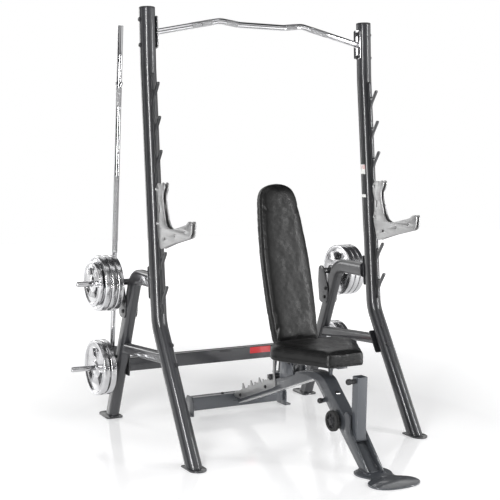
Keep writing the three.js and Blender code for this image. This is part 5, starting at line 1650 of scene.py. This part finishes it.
def make_pad(name, node, body, outline, thickness, place, fall, reach, upright_seams):
    block = pad_block(outline, thickness)
    crown(block, outline, thickness, fall, reach)
    relax(block, 4)
    inflate(block, thickness)
    refine(block)
    relax(block, 1)
    edge = even_loop(outline)
    seams = [lifted_loop(edge, SEAM_INSET, height) for height in (thickness - FACE_SEAM_DROP, BOARD_SEAM)]
    for x, y in upright_seams:
        height = thickness - FACE_SEAM_DROP - BOARD_SEAM
        count = round(height / 0.003)
        rise = [BOARD_SEAM + height * k / count for k in range(count + 1)]
        seams.append([Vector((x, y, level)) for level in rise])
    sew(block, seams)
    lines = [lifted_loop(edge, inset, thickness - drop) for inset, drop in STITCH_LINES]
    finish_pad(block, name, body, place, node, lines)


def make_pads():
    back_place = pad_frame(BACK_HINGE, BACK_UP, tuple(-c for c in BACK_REAR), BACK_BASE)
    make_pad(
        "back_cushion", "back_pad", "backrest", back_outline(), BACK_THICKNESS, back_place, 0.009, 0.075, []
    )
    seat_place = pad_frame(SEAT_HINGE, SEAT_FORWARD, SEAT_UP, SEAT_BOTTOM)
    corners = [(-0.104, 0.436), (0.104, 0.436)]
    make_pad(
        "seat_cushion", "seat_pad", "seat", seat_outline(), SEAT_THICKNESS, seat_place, 0.010, 0.085, corners
    )


# ================================================================ bolts and labels
PULLUP_BOLTS = ((0.327, 2.030), (0.318, 1.910))
BRACE_BOLTS = (0.475, 0.575)
SADDLE_BOLTS = (0.135, 0.257)
BRACKET_BOLTS = ((0.545, 0.650), (0.555, 0.600))
CROSSBAR_BOLTS = (-0.046, 0.046)
COMB_BOLTS = (0.102, 0.381)


def make_rack_bolts():
    behind = at(0, SLANT_BEHIND)
    backwards = at(0, (-RAIL_FORWARD[0], -RAIL_FORWARD[1]))
    leg_face = LEG_X + LEG_WIDTH / 2
    inner_plate = leg_face - LEG_WIDTH - GAP - FLANGE
    for side, sign in SIDES:
        shape = bmesh.new()
        x = sign * UPRIGHT_X
        way = ACROSS * sign
        for y, z in PULLUP_BOLTS:
            hex_head(shape, (sign * (UPRIGHT_X + UPRIGHT_RADIUS - 0.001), y, z), way, 0.0095)
            hex_head(shape, (sign * (UPRIGHT_X - UPRIGHT_RADIUS - GAP - FLANGE), y, z), -way, 0.0095)
        for along in BRACE_BOLTS:
            hex_head(shape, at(sign * LEG_X, on_slant(along, UPRIGHT_RADIUS + GAP + FLANGE)), behind, 0.0085)
            hex_head(shape, at(sign * LEG_X, on_slant(along, 0.001 - UPRIGHT_RADIUS)), -behind, 0.0085)
        for along in SADDLE_BOLTS:
            hex_head(shape, at(x, on_rail(along, -(UPRIGHT_RADIUS + GAP + FLANGE))), backwards, 0.0085)
        for place in BRACKET_BOLTS:
            hex_head(shape, at(sign * (leg_face + GAP + FLANGE), place), way, 0.0085)
            hex_head(shape, at(sign * inner_plate, place), -way, 0.0085)
        for rise in CROSSBAR_BOLTS:
            place = (CROSSBAR_Y, CROSSBAR_Z + rise)
            hex_head(shape, at(sign * inner_plate, place), -way, 0.0075, 0.006)
            hex_head(shape, at(sign * leg_face, place), way, 0.0075, 0.006)
        add_piece(f"rack_bolts_{side}", shape, "rack", "black_plastic", 30)


def make_bench_bolts():
    shape = bmesh.new()
    for _, sign in SIDES:
        face = BENCH_X + sign * (CHEEK_INNER + COMB_THICKNESS)
        for along in COMB_BOLTS:
            hex_head(shape, at(face, on_spine(along, 0.006)), (sign, 0, 0), 0.0075, 0.005)
        lug = BENCH_X + sign * (CHEEK_INNER + LUG_THICKNESS)
        hex_head(shape, at(lug, BACK_HINGE), (sign, 0, 0), 0.0095, 0.006)
        hex_head(shape, at(lug, SEAT_HINGE), (sign, 0, 0), 0.0075, 0.005)
    for x in (-0.030, 0.150):
        hex_head(shape, (x, SPINE_BACK + 0.033, 0.098), UPWARDS, 0.0080, 0.005)
    add_piece("bench_bolts", shape, "bench", "black_plastic", 30)
    shape = bmesh.new()
    dome_head(shape, (BENCH_X, -0.351, 0.305), (0, -0.652, 0.758))
    add_piece("leg_dome_bolt", shape, "bench", "chrome", 35)


def flat_label(name, x_from, x_to, z_from, z_to, look):
    face = CROSSBAR_Y - CROSSBAR_DEEP / 2
    outline = rounded([(x_from, z_from), (x_to, z_from), (x_to, z_to), (x_from, z_to)], 0.004)
    place = Matrix(((1, 0, 0, 0), (0, 0, -1, face - 0.0003), (0, 1, 0, 0), (0, 0, 0, 1)))
    sheet_piece(name, [outline], place, 0.0006, 0.0002, "rack", "rack_frame", look)


def curved_label(name, x, z, tall, spread, look):
    """A thin sticker wrapped round the side of an upright that faces the bench."""
    shape = bmesh.new()
    rings = []
    base = z - UPRIGHT_POINTS[1][1]
    for along in (base - tall / 2, base + tall / 2):
        centre = on_rail(along, 0)
        ring = []
        for radius, turns in ((0.0005, range(9)), (-0.0004, range(8, -1, -1))):
            for k in turns:
                turn = math.pi + spread * (k / 8 - 0.5)
                reach = UPRIGHT_RADIUS + radius
                ring.append(shape.verts.new((
                    x + reach * math.cos(turn), centre[0] + reach * math.sin(turn), centre[1]
                )))
        rings.append(ring)
    loft(shape, rings)
    add_piece(name, shape, "rack", "rack_frame", 40, look)


def make_labels():
    flat_label("crossbar_red_label", 0.145, 0.275, 0.300, 0.334, "red_label")
    flat_label("crossbar_dark_label", -0.045, 0.025, 0.322, 0.332, "black_plastic")
    curved_label("upright_white_label", UPRIGHT_X, 1.330, 0.050, 1.10, "white_label")
    curved_label("upright_red_band", UPRIGHT_X, 1.342, 0.022, 1.12, "red_label")
    curved_label("upright_small_label", UPRIGHT_X, 1.190, 0.016, 1.00, "white_label")


# ================================================================ assembly
make_camera()
make_lights()
make_world()
make_floor()
LOOKS = make_materials()

make_rack()
for side, sign in SIDES:
    make_hook(side, sign)
    for plan in UPPER_PLANS:
        make_plate(side, sign, "upper", UPPER_PEG, plan)
    for plan in LOWER_PLANS:
        make_plate(side, sign, "lower", LOWER_PEG, plan)
make_barbell()
make_bench()
make_pads()
make_rack_bolts()
make_bench_bolts()
make_labels()
for node, part in frame["nodes"].items():
    if not part.hide_render:
        eased_copy(node)
